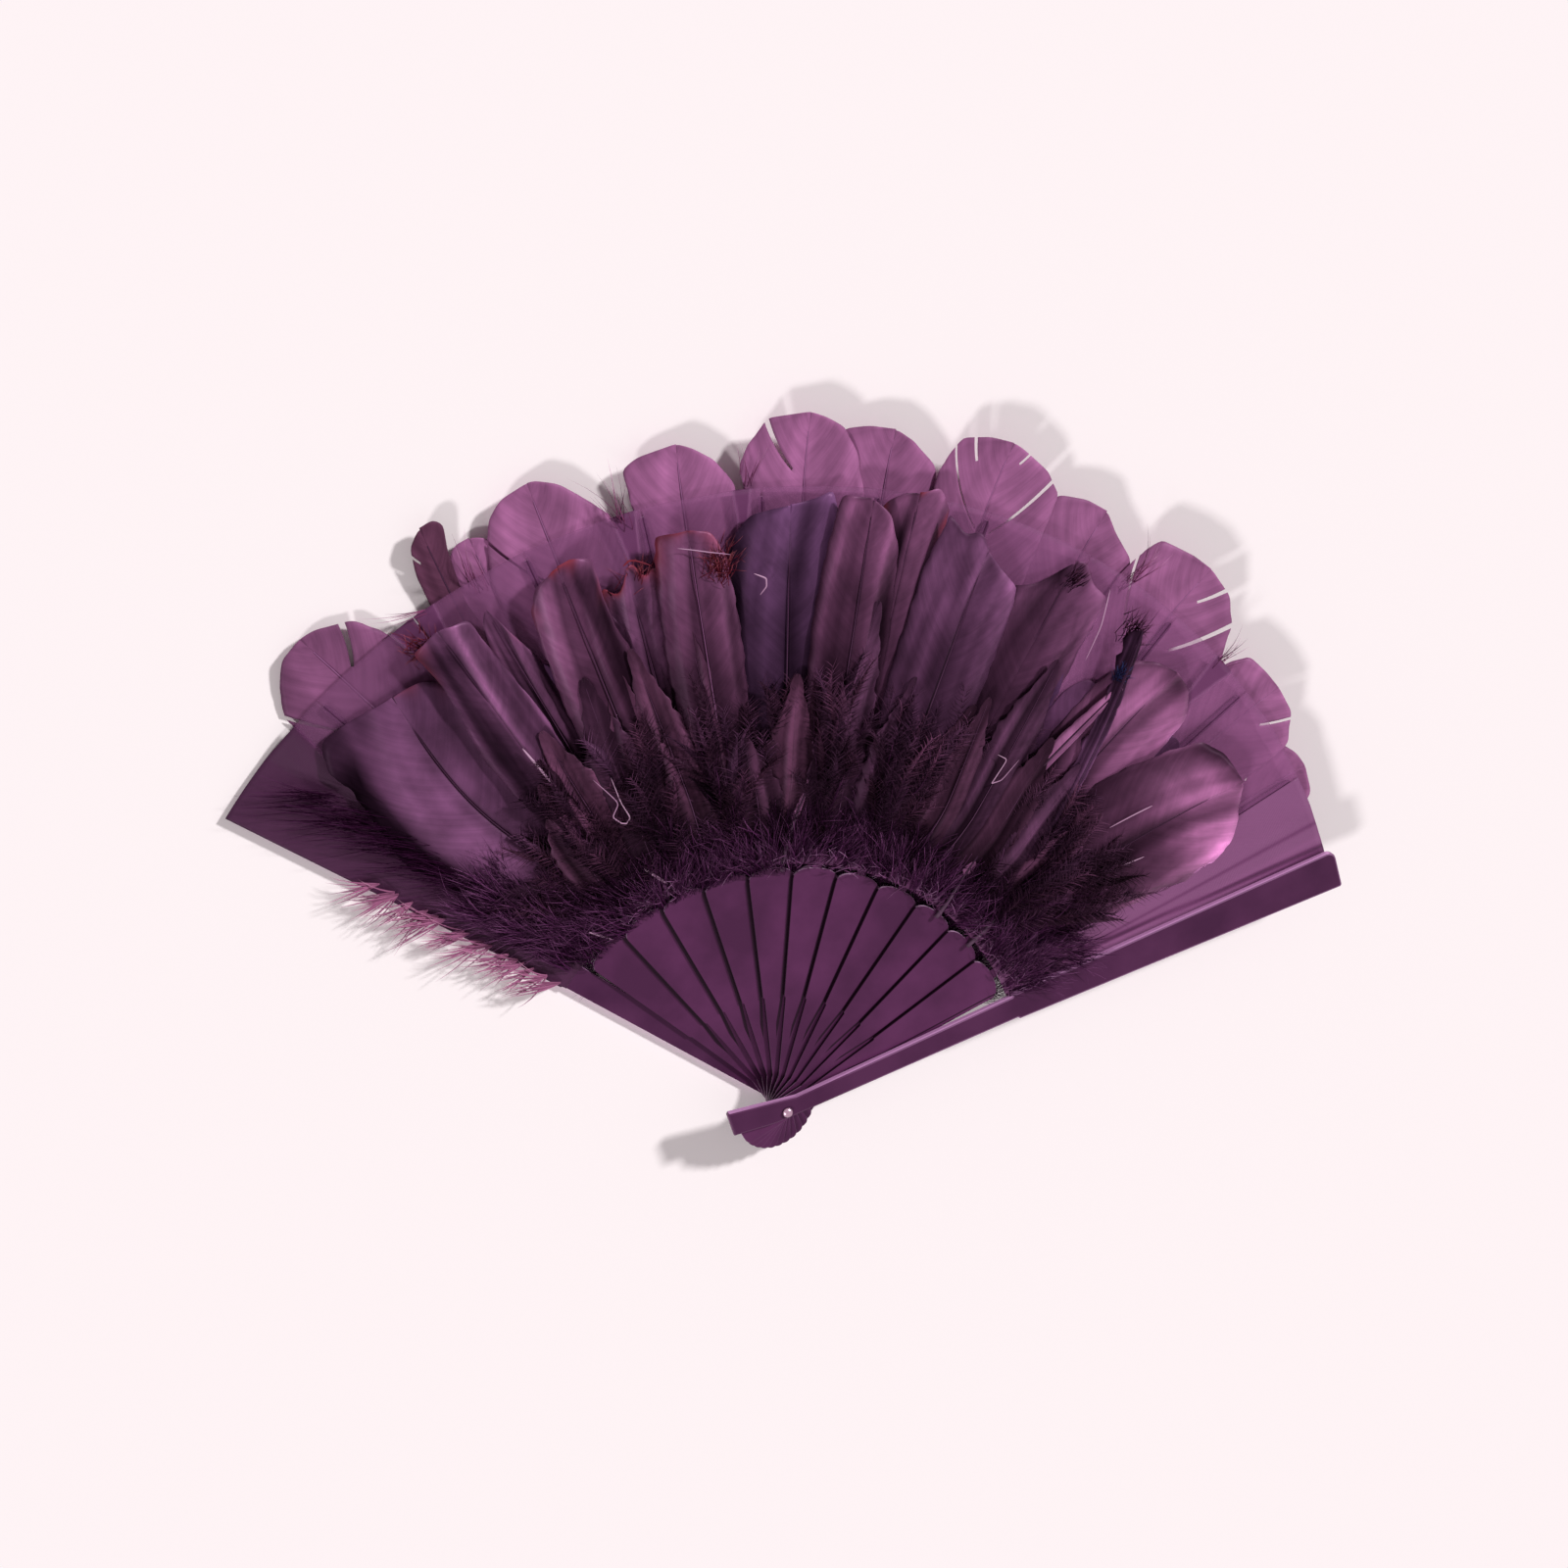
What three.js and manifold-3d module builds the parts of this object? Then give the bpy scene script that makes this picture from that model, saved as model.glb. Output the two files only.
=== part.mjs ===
// Folding feather fan, lying open on its back: plastic sticks on one rivet, a pleated
// cloth leaf glued to their slips, and feathers on both faces of the leaf.
// Millimetres, +Z up. The origin is on the rivet's axis, at the plane the fan rests on.
// The middle rib points along +Y, and the sticks are stacked upwards from left to right.
import * as THREE from 'three';
import { mergeVertices } from 'three/addons/utils/BufferGeometryUtils.js';
import Module from 'manifold-3d';

const wasm = await Module();
wasm.setup();

// Opening and stack
const openAngle = 126.7; // degrees between the two guards
const middleAngle = 90; // degrees, direction of the middle rib
const ribCount = 11;
const slideGap = 0.3; // between sticks that slide on each other
const guardThickness = 2.2;
const ribThickness = 1.0;
const slipThickness = 0.7; // the thin end of a rib, which carries the leaf
const pitchAngle = openAngle / (ribCount + 1);
const ribPitch = ribThickness + slideGap;
const firstRibZ = guardThickness + slideGap;
const frontGuardZ = firstRibZ + ribCount * ribPitch;
const stackHeight = frontGuardZ + guardThickness;

// Rivet
const rivetShankRadius = 0.9;
const rivetRunningGap = 0.3;
const rivetDomeRadius = 1.75;
const rivetDomeHeight = 1.1;
const rivetTailRadius = 2.1;
const rivetTailThickness = 0.6;
const rivetSeatGap = 0.3;
const rivetHoleRadius = rivetShankRadius + rivetRunningGap;
const rivetSides = 24;
const domeSteps = 5;

// Ribs: half widths are across the stick, places are along it from the rivet
const ribHeadReach = 16.7;
const ribHeadHalf = 4.0;
const ribHeadCorner = 2.2;
const ribNeckPlace = 9;
const ribNeckHalf = 1.7;
const ribShoulderPlace = 37;
const ribShoulderHalf = 3.7;
const ribShoulderStep = 0.6;
const bladeEnd = 82.5;
const bladeHalf = 7.8;
const bladeTongue = 3.8; // length of the rounded end of the blade
const ribReach = 205;
const slipHalf = 1.6;
const slipTipHalf = 1.1;
const ribEdgeRound = 0.2;

// Guards: inner is the side towards the leaf, outer the free side
const frontGuardReach = 210.5;
const backGuardReach = 206.5;
const frontHeadReach = 19.2;
const backHeadReach = 16.7;
const guardHeadInner = 8.2;
const guardHeadOuter = 0.4;
const guardNeckPlace = 4.5;
const guardNeckInner = 3.8;
const guardNeckOuter = 2.5;
const guardKinkPlace = 85;
const guardKinkInner = 5.6;
const guardKinkOuter = 2.8;
const guardKinkStep = 0.7;
const guardTipInner = 7.3;
const frontGuardTipOuter = 6.9;
const backGuardTipOuter = 5.6;
const guardTipCorner = 3.0;
const guardEdgeRound = 0.7;
const rimSteps = 2;

// Leaf
const leafInnerRadius = 84;
const leafOuterRadius = 208;
const leafThickness = 0.35;
const leafRidge = 1.4; // height of a pleat at the outer edge of the open leaf
const leafGap = 0.3;
const leafOverlapAngle = 2.0; // degrees, how far the leaf runs on over a guard
const guardCoverAngle = 4.2; // degrees, half of what a guard covers of the leaf

// Feathers
const featherThickness = 0.35;
const layerGap = 0.35;
const frontRootRadius = 93;
const frontCamber = 2.4;
const frontQuillHalf = 1.6;
const frontTipRound = 4;
const lowerRise = 42; // length over which a feather rises from its root to its layer
const upperRise = 24;
const backRootRadius = 106;
const backCamber = 0.3;
const backQuillHalf = 1.4;
const backTipRound = 5;
const backCurlStart = 206;
const backCurlHeight = 3;
const backCurlLength = 24;

// Downy plumes behind the leaf, which hold its free side off the table
const plumeRibShares = [0.18, 0.45, 0.73, 0.91]; // the ribs that carry them, as shares of the row
const plumeRootRadius = 88;
const plumeReach = 190;
const plumeHalf = 12;
const plumeQuillHalf = 1.3;
const plumeThickness = 0.8;
const plumeClearance = 0.3;
const plumeFallShare = 1.45; // above 1, so that the plume lies flat over its outer part

// Half width of a feather along its shaft, as shares of its length and of its half width
const featherRowShares = [0, 0.08, 0.2, 0.34, 0.48, 0.62, 0.75, 0.85, 0.92, 0.97, 1];
const featherWidthShares = [0, 0.12, 0.4, 0.69, 0.87, 0.97, 1, 0.97, 0.88, 0.74, 0.55];
const featherAcrossShares = [-1, -0.5, 0, 0.5, 1];
const slimWidthShares = [0, 0.14, 0.4, 0.66, 0.85, 0.97, 1, 0.94, 0.8, 0.6, 0.35];

// Back feathers: direction of the root and of the tip in degrees, reach as a share of the
// leaf's outer radius, half width as a share of backFeatherHalf, and the layer
const backFeatherHalf = 20;
const backFeatherShares = [
  { root: 139.6, tip: 140.1, reach: 1.082, half: 1.05, low: false },
  { root: 131.5, tip: 127.9, reach: 1.106, half: 0.325, low: false },
  { root: 126.5, tip: 125.0, reach: 1.053, half: 0.7, low: true },
  { root: 119.4, tip: 119.2, reach: 1.087, half: 1.02, low: false },
  { root: 107.8, tip: 107.3, reach: 1.077, half: 0.79, low: false },
  { root: 97.0, tip: 96.6, reach: 1.106, half: 0.9, low: false },
  { root: 89.0, tip: 89.4, reach: 1.091, half: 0.95, low: true },
  { root: 80.0, tip: 79.7, reach: 1.111, half: 1.025, low: false },
  { root: 69.6, tip: 69.4, reach: 1.072, half: 0.95, low: true },
  { root: 58.9, tip: 58.6, reach: 1.087, half: 1.09, low: false },
  { root: 46.2, tip: 45.7, reach: 1.048, half: 0.9, low: false },
  { root: 38.6, tip: 37.4, reach: 1.019, half: 0.85, low: true },
];

// Front feathers, the same way; low ones lie under the others, and lean is the share of
// its half width by which a vane's left side is the wider one at the root
const frontFeatherHalf = 16;
const frontFeatherShares = [
  { root: 135.6, tip: 141.2, reach: 0.952, half: 1.8, lean: 0.7, low: true, slim: false },
  { root: 131.4, tip: 131.3, reach: 0.976, half: 0.75, low: false, slim: true },
  { root: 126.6, tip: 126.8, reach: 0.962, half: 0.5, low: true, slim: true },
  { root: 120.4, tip: 119.8, reach: 0.971, half: 0.84, low: false, slim: false },
  { root: 114.4, tip: 114.0, reach: 0.923, half: 0.69, low: true, slim: true },
  { root: 108.4, tip: 108.0, reach: 0.962, half: 0.78, low: false, slim: false },
  { root: 98.6, tip: 98.4, reach: 0.976, half: 1.17, low: true, slim: false },
  { root: 91.6, tip: 91.2, reach: 0.99, half: 0.81, low: false, slim: false },
  { root: 87.2, tip: 86.8, reach: 1.005, half: 0.74, low: true, slim: false },
  { root: 79.8, tip: 79.5, reach: 0.962, half: 1.03, low: false, slim: false },
  { root: 70.6, tip: 70.5, reach: 0.981, half: 1.12, low: true, slim: false },
  { root: 62.8, tip: 62.4, reach: 0.952, half: 0.6, low: false, slim: true },
  { root: 56.2, tip: 55.4, reach: 0.933, half: 1.06, low: true, slim: false },
  { root: 47.4, tip: 41.6, reach: 0.904, half: 1.5, low: false, slim: false },
];

const rivetMetal = { color: 0xae91a3, metalness: 0.9, roughness: 0.3 };
const plastic = { color: 0x56304f, metalness: 0, roughness: 0.32 };
const darkPlastic = { color: 0x4c2848, metalness: 0, roughness: 0.3 };
const leafCloth = { color: 0x66335f, metalness: 0, roughness: 0.75 };
const backVane = { color: 0x8f5480, metalness: 0, roughness: 0.6 };
const frontVane = { color: 0x4a2648, metalness: 0, roughness: 0.55 };
const down = { color: 0x6d3c64, metalness: 0, roughness: 0.9 };

const fan = new THREE.Group();

function add(name, geometry, finish) {
  const mesh = new THREE.Mesh(geometry, new THREE.MeshStandardMaterial(finish));
  mesh.name = name;
  fan.add(mesh);
  return mesh;
}

// Merges shared corners and drops the slivers that a revolve leaves at its poles.
function welded(geometry) {
  const bare = geometry.clone();
  bare.deleteAttribute('normal');
  bare.deleteAttribute('uv');
  const merged = mergeVertices(bare);
  const kept = [];
  const index = merged.index.array;
  for (let i = 0; i < index.length; i += 3) {
    const [a, b, c] = [index[i], index[i + 1], index[i + 2]];
    if (a !== b && b !== c && c !== a) kept.push(a, b, c);
  }
  merged.setIndex(kept);
  return merged;
}

function solid(geometry) {
  const merged = welded(geometry);
  return new wasm.Manifold(new wasm.Mesh({
    numProp: 3,
    vertProperties: new Float32Array(merged.attributes.position.array),
    triVerts: new Uint32Array(merged.index.array),
  }));
}

function geometryOf(body) {
  const mesh = body.getMesh();
  const geometry = new THREE.BufferGeometry();
  geometry.setAttribute('position', new THREE.BufferAttribute(mesh.vertProperties, 3));
  geometry.setIndex(new THREE.BufferAttribute(mesh.triVerts, 1));
  geometry.computeVertexNormals();
  return geometry;
}

function stickAngle(k) {
  return middleAngle + (ribCount + 1 - 2 * k) * pitchAngle / 2;
}

function ribZ(k) {
  return firstRibZ + (k - 1) * ribPitch;
}

// Height of the ribs' undersides as one even ramp, which the leaf and feathers follow.
function ramp(angle) {
  return firstRibZ + (stickAngle(1) - angle) / pitchAngle * ribPitch;
}

// Points of a quarter of an ellipse about (x, y), from one angle in degrees to another.
function arc(x, y, radiusX, radiusY, from, to, steps) {
  const points = [];
  for (let i = 0; i <= steps; i += 1) {
    const turn = THREE.MathUtils.degToRad(from + (to - from) * i / steps);
    points.push(new THREE.Vector2(x + radiusX * Math.cos(turn), y + radiusY * Math.sin(turn)));
  }
  return points;
}

function mirrored(points) {
  return points.map((point) => new THREE.Vector2(point.x, -point.y)).reverse();
}

// Moves every point of a closed outline inwards, along the middle of its corner.
function inset(outline, distance) {
  const count = outline.length;
  return outline.map((point, i) => {
    const before = point.clone().sub(outline[(i + count - 1) % count]).normalize();
    const after = outline[(i + 1) % count].clone().sub(point).normalize();
    const inwards = new THREE.Vector2(-before.y - after.y, before.x + after.x).normalize();
    const opening = Math.max(inwards.dot(new THREE.Vector2(-after.y, after.x)), Math.SQRT1_2);
    return point.clone().addScaledVector(inwards, distance / opening);
  });
}

// A flat stick from a counter-clockwise outline, with its upper rim rounded and the hole
// for the rivet cut through it.
function flatStick(outline, thickness, round) {
  const layers = [[0, 0]];
  for (let i = 0; i <= rimSteps; i += 1) {
    const turn = Math.PI / 2 * i / rimSteps;
    layers.push([round * (1 - Math.cos(turn)), thickness - round * (1 - Math.sin(turn))]);
  }
  const corners = [];
  const faces = [];
  const count = outline.length;
  layers.forEach(([distance, z], layer) => {
    for (const point of inset(outline, distance)) corners.push(point.x, point.y, z);
    if (layer === 0) return;
    for (let i = 0; i < count; i += 1) {
      const [a, b] = [(layer - 1) * count + i, (layer - 1) * count + (i + 1) % count];
      faces.push(a, b, b + count, a, b + count, a + count);
    }
  });
  const top = (layers.length - 1) * count;
  for (const [a, b, c] of THREE.ShapeUtils.triangulateShape(outline, [])) {
    faces.push(top + a, top + b, top + c, a, c, b);
  }
  const geometry = new THREE.BufferGeometry();
  geometry.setAttribute('position', new THREE.Float32BufferAttribute(corners, 3));
  geometry.setIndex(faces);
  const hole = new THREE.CylinderGeometry(rivetHoleRadius, rivetHoleRadius, 3 * thickness,
    rivetSides).rotateX(Math.PI / 2);
  return solid(geometry).subtract(solid(hole));
}

// One rib: a stacked head, a neck, the blade that shows, and the slip under the leaf.
function rib() {
  const cornerSteps = 4;
  const tongueSteps = 7;
  const upper = [
    ...arc(-ribHeadReach + ribHeadCorner, ribHeadHalf - ribHeadCorner,
      ribHeadCorner, ribHeadCorner, 180, 90, cornerSteps),
    new THREE.Vector2(-ribHeadCorner, ribHeadHalf),
    new THREE.Vector2(ribNeckPlace, ribNeckHalf),
    new THREE.Vector2(ribShoulderPlace, ribShoulderHalf),
    new THREE.Vector2(ribShoulderPlace + ribShoulderStep, ribShoulderHalf + ribShoulderStep),
    ...arc(bladeEnd - bladeTongue, slipHalf, bladeTongue, bladeHalf - slipHalf,
      90, 0, tongueSteps),
    new THREE.Vector2(ribReach - slipTipHalf, slipTipHalf),
    new THREE.Vector2(ribReach, slipTipHalf / 2),
  ];
  const blank = flatStick([...upper, ...mirrored(upper)].reverse(), ribThickness, ribEdgeRound);
  const slipLength = ribReach - bladeEnd;
  const relief = new THREE.BoxGeometry(slipLength + bladeTongue, 2 * bladeHalf, ribThickness);
  relief.translate(bladeEnd + (slipLength + bladeTongue) / 2, 0, slipThickness + ribThickness / 2);
  return geometryOf(blank.subtract(solid(relief)));
}

// One guard seen from its outer face, with the leaf on its +Y side and a rounded rim.
function guard(headReach, reach, tipOuter) {
  const cornerSteps = 4;
  const outline = [
    new THREE.Vector2(-headReach, -guardHeadOuter),
    new THREE.Vector2(-guardNeckPlace, -guardNeckOuter),
    new THREE.Vector2(guardNeckPlace, -guardNeckOuter),
    new THREE.Vector2(guardKinkPlace, -guardKinkOuter),
    new THREE.Vector2(guardKinkPlace + guardKinkStep, -guardKinkOuter - guardKinkStep),
    new THREE.Vector2(reach - guardEdgeRound, -tipOuter),
    new THREE.Vector2(reach, -tipOuter + guardEdgeRound),
    ...arc(reach - guardTipCorner, guardTipInner - guardTipCorner,
      guardTipCorner, guardTipCorner, 0, 90, cornerSteps),
    new THREE.Vector2(guardKinkPlace + guardKinkStep, guardKinkInner + guardKinkStep),
    new THREE.Vector2(guardKinkPlace, guardKinkInner),
    new THREE.Vector2(guardNeckPlace, guardNeckInner),
    new THREE.Vector2(-headReach + guardEdgeRound, guardHeadInner),
    new THREE.Vector2(-headReach, guardHeadInner - guardEdgeRound),
  ];
  return flatStick(outline, guardThickness, guardEdgeRound);
}

// A closed plate over a grid of points, row by row, with the given thickness upwards.
function plate(grid, thickness) {
  const rows = grid.length;
  const columns = grid[0].length;
  const corners = [];
  for (const lift of [0, thickness]) {
    for (const row of grid) {
      for (const point of row) corners.push(point.x, point.y, point.z + lift);
    }
  }
  const upper = rows * columns;
  const faces = [];
  const at = (i, j) => i * columns + j;
  for (let i = 0; i + 1 < rows; i += 1) {
    for (let j = 0; j + 1 < columns; j += 1) {
      const [a, b, c, d] = [at(i, j), at(i + 1, j), at(i + 1, j + 1), at(i, j + 1)];
      faces.push(upper + a, upper + b, upper + c, upper + a, upper + c, upper + d);
      faces.push(a, c, b, a, d, c);
    }
  }
  const rim = [];
  for (let i = 0; i + 1 < rows; i += 1) rim.push(at(i, 0));
  for (let j = 0; j + 1 < columns; j += 1) rim.push(at(rows - 1, j));
  for (let i = rows - 1; i > 0; i -= 1) rim.push(at(i, columns - 1));
  for (let j = columns - 1; j > 0; j -= 1) rim.push(at(0, j));
  for (let i = 0; i < rim.length; i += 1) {
    const [a, b] = [rim[i], rim[(i + 1) % rim.length]];
    faces.push(a, b, upper + b, a, upper + b, upper + a);
  }
  const geometry = new THREE.BufferGeometry();
  geometry.setAttribute('position', new THREE.Float32BufferAttribute(corners, 3));
  geometry.setIndex(faces);
  geometry.computeVertexNormals();
  return geometry;
}

function polarPoint(radius, angle, side, z) {
  const turn = THREE.MathUtils.degToRad(angle);
  return new THREE.Vector3(
    radius * Math.cos(turn) - side * Math.sin(turn),
    radius * Math.sin(turn) + side * Math.cos(turn),
    z,
  );
}

function angleOf(point) {
  return THREE.MathUtils.radToDeg(Math.atan2(point.y, point.x));
}

function smooth(share) {
  const t = THREE.MathUtils.clamp(share, 0, 1);
  return t * t * (3 - 2 * t);
}

// The real size of a feather whose table row holds shares.
function featherSize(row, fullHalf) {
  return {
    root: row.root,
    tip: row.tip,
    reach: row.reach * leafOuterRadius,
    half: row.half * fullHalf,
    lean: row.lean ?? 0,
  };
}

// A feather's grid: half width by share of length, level(radius, angle, bow) gives z,
// where bow is 1 on the shaft and falls to 0 at the edges of the vane.
function featherGrid(size, rootRadius, quillHalf, tipRound, widthShares, level) {
  return featherRowShares.map((along, i) => {
    const half = quillHalf + (size.half - quillHalf) * widthShares[i];
    const angle = size.root + (size.tip - size.root) * along;
    const shift = size.lean * (1 - along) * half;
    return featherAcrossShares.map((across) => {
      const drop = tipRound * across * across * along;
      const radius = rootRadius + (size.reach - rootRadius) * along - drop;
      const point = polarPoint(radius, angle, across * half + shift, 0);
      const bow = (1 - across * across) * widthShares[i];
      point.z = level(Math.hypot(point.x, point.y), angleOf(point), bow);
      return point;
    });
  });
}

function leafTop(radius, angle) {
  const ridge = leafRidge * radius / leafOuterRadius;
  return ramp(angle) + slipThickness + leafGap + leafThickness + ridge;
}

function frontLevel(low) {
  return (radius, angle, bow) => {
    const seat = leafTop(radius, angle) + leafGap;
    const lift = frontCamber + featherThickness + layerGap;
    const away = low
      ? layerGap * smooth((radius - frontRootRadius) / lowerRise)
      : (lift + layerGap) * smooth((radius - frontRootRadius) / upperRise);
    return seat + away + frontCamber * bow;
  };
}

function backLevel(low) {
  return (radius, angle, bow) => {
    const layer = backCamber + featherThickness + layerGap;
    const curl = Math.max(0, radius - backCurlStart) / backCurlLength;
    const under = slideGap + featherThickness + backCamber + (low ? layer : 0);
    return ramp(angle) - under + backCamber * bow + backCurlHeight * curl * curl;
  };
}

// A plume hangs from the underside of a slip and bends down until it lies on the table.
function plumeGrid(k) {
  const angle = stickAngle(k);
  const start = ribZ(k) - plumeClearance - plumeThickness;
  const dive = 2 * (backCamber + featherThickness + layerGap);
  const size = { root: angle, tip: angle, reach: plumeReach, half: plumeHalf, lean: 0 };
  return featherGrid(size, plumeRootRadius, plumeQuillHalf, 0, featherWidthShares, (radius) => {
    const along = (radius - plumeRootRadius) / (plumeReach - plumeRootRadius);
    const bend = smooth((radius - plumeRootRadius) / (backRootRadius - plumeRootRadius));
    return Math.max(0, (start - dive * bend) * (1 - smooth(along * plumeFallShare)));
  });
}

// Pleats between neighbouring sticks, each a ridge midway, flat over the guards.
function goreGrid(k) {
  const seam = THREE.MathUtils.radToDeg(leafGap / leafInnerRadius) / 2;
  const last = k === ribCount;
  const seatLow = guardThickness + leafGap;
  const seatHigh = frontGuardZ - leafGap - leafThickness;
  const over = ramp(stickAngle(k) - pitchAngle / 2) + slipThickness + leafGap;
  const columns = [];
  if (k === 0) {
    columns.push([stickAngle(0) + leafOverlapAngle, seatLow, 0]);
    columns.push([stickAngle(0) - guardCoverAngle, seatLow, 0]);
  } else {
    columns.push([stickAngle(k) - seam, ribZ(k) + slipThickness + leafGap, 0]);
  }
  if (last) {
    columns.push([stickAngle(k) - pitchAngle / 2 + seam, seatHigh, leafRidge / 2]);
    columns.push([stickAngle(k + 1) + guardCoverAngle, seatHigh, 0]);
    columns.push([stickAngle(k + 1) - leafOverlapAngle / 2, seatHigh, 0]);
  } else {
    columns.push([stickAngle(k) - pitchAngle / 2, over, leafRidge]);
    columns.push([stickAngle(k + 1) + seam, ribZ(k + 1) + slipThickness + leafGap, 0]);
  }
  columns.reverse();
  return [leafInnerRadius, leafOuterRadius].map((radius) => columns.map(
    ([angle, z, ridge]) => polarPoint(radius, angle, 0, z + ridge * radius / leafOuterRadius),
  ));
}

function twoDigits(number) {
  return String(number).padStart(2, '0');
}

// Back guard, outer face down, with a counterbore that hides the rivet's tail
const backGuard = guard(backHeadReach, backGuardReach, backGuardTipOuter)
  .mirror([0, 0, 1]).translate([0, 0, guardThickness]);
const boreDepth = rivetTailThickness + rivetSeatGap;
const bore = new THREE.CylinderGeometry(rivetTailRadius + rivetSeatGap,
  rivetTailRadius + rivetSeatGap, 2 * boreDepth, rivetSides);
bore.rotateX(Math.PI / 2);
const backStick = add('back_guard', geometryOf(backGuard.mirror([0, 1, 0]).subtract(solid(bore))),
  darkPlastic);
backStick.rotation.z = THREE.MathUtils.degToRad(stickAngle(0));

// Rivet: tail flush with the resting plane, shank through every stick, domed head on top
const domeSeat = stackHeight + rivetSeatGap;
const rivetProfile = [
  new THREE.Vector2(0, 0),
  new THREE.Vector2(rivetTailRadius, 0),
  new THREE.Vector2(rivetTailRadius, rivetTailThickness),
  new THREE.Vector2(rivetShankRadius, rivetTailThickness),
  new THREE.Vector2(rivetShankRadius, domeSeat),
  ...arc(0, domeSeat, rivetDomeRadius, rivetDomeHeight, 0, 90, domeSteps),
];
rivetProfile[rivetProfile.length - 1].x = 0;
const rivet = new THREE.LatheGeometry(rivetProfile, rivetSides).rotateX(Math.PI / 2);
add('rivet', geometryOf(solid(rivet)), rivetMetal);

const ribGeometry = rib();
for (let k = 1; k <= ribCount; k += 1) {
  const mesh = add(`rib_${twoDigits(k)}`, ribGeometry.clone(), plastic);
  mesh.rotation.z = THREE.MathUtils.degToRad(stickAngle(k));
  mesh.position.z = ribZ(k);
}

const frontBar = guard(frontHeadReach, frontGuardReach, frontGuardTipOuter);
const frontStick = add('front_guard', geometryOf(frontBar), darkPlastic);
frontStick.rotation.z = THREE.MathUtils.degToRad(stickAngle(ribCount + 1));
frontStick.position.z = frontGuardZ;

for (let k = 0; k <= ribCount; k += 1) {
  add(`leaf_gore_${twoDigits(k + 1)}`, plate(goreGrid(k), leafThickness), leafCloth);
}

backFeatherShares.forEach((row, i) => {
  const grid = featherGrid(featherSize(row, backFeatherHalf), backRootRadius, backQuillHalf,
    backTipRound, featherWidthShares, backLevel(row.low));
  add(`back_feather_${twoDigits(i + 1)}`, plate(grid, featherThickness), backVane);
});

frontFeatherShares.forEach((row, i) => {
  const grid = featherGrid(featherSize(row, frontFeatherHalf), frontRootRadius, frontQuillHalf,
    frontTipRound, row.slim ? slimWidthShares : featherWidthShares, frontLevel(row.low));
  add(`front_feather_${twoDigits(i + 1)}`, plate(grid, featherThickness), frontVane);
});

plumeRibShares.forEach((share, i) => {
  const k = Math.round(share * ribCount);
  add(`back_plume_${i + 1}`, plate(plumeGrid(k), plumeThickness), down);
});

export default fan;
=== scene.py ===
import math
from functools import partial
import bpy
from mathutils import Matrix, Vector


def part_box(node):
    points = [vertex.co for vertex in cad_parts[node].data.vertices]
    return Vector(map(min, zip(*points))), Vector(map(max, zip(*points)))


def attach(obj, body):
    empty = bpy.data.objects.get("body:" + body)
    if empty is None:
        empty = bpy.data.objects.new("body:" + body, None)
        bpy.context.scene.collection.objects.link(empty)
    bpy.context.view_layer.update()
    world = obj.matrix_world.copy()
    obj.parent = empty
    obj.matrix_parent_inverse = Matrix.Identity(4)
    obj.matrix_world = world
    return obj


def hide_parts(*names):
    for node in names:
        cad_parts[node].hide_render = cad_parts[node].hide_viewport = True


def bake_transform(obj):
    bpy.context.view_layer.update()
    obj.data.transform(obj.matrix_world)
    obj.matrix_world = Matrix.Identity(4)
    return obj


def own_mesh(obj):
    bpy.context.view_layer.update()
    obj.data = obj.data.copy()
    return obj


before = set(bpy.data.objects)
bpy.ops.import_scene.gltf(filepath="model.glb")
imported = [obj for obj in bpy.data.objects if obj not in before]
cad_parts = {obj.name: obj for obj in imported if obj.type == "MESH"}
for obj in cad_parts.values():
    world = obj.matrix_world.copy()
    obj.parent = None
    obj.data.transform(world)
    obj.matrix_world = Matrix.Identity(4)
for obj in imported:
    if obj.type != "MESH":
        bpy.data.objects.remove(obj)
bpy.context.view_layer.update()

# A folding feather fan, lying open with its front face up. The tables and sizes are in
# millimetres and degrees, and the meshes in metres. A place on the fan is given as the
# radius from the rivet, the direction round it, and the height above the table.

from types import SimpleNamespace

import bpy
import numpy as np
from mathutils import Matrix

MM = 0.001

# Sticks, from the frame: stick 0 is the back guard, 1 to 11 the ribs, 12 the front guard
RIB_COUNT = 11
OPEN_ANGLE = 126.7
PITCH = OPEN_ANGLE / (RIB_COUNT + 1)
MIDDLE = 90.0
FIRST_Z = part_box("rib_01")[0].z / MM
STEP_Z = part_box("rib_02")[0].z / MM - FIRST_Z
SLIP_THICK = 0.7
GUARD_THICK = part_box("back_guard")[1].z / MM
FRONT_GUARD_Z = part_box("front_guard")[0].z / MM
# Half width of a blade, from its shoulder to its widest place
BLADE_EDGE = {"From Min": 37.6, "From Max": 78.7, "To Min": 4.3, "To Max": 7.8}
# Width of the painted shadow line beside the first stick and beside the last
PAINTED_SHADOW_WIDTH = {"From Max": RIB_COUNT, "To Min": 1.5, "To Max": 0.35}

# Leaf
LEAF_INNER = 84.0
LEAF_OUTER = 208.0
LEAF_ROWS = 60
LEAF_COLUMNS = 61
LEAF_GAP = 0.3
LEAF_THICK = 0.2
LEAF_RIDGE = 1.4
LAST_RIDGE_SHARE = 0.4
LEAF_SAG = 0.25
BLEND_Z = 10.0
GUARD_COVER = 4.2
LEAF_OVERLAP = 2.0
GORE_OVERLAP = 0.05
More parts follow.
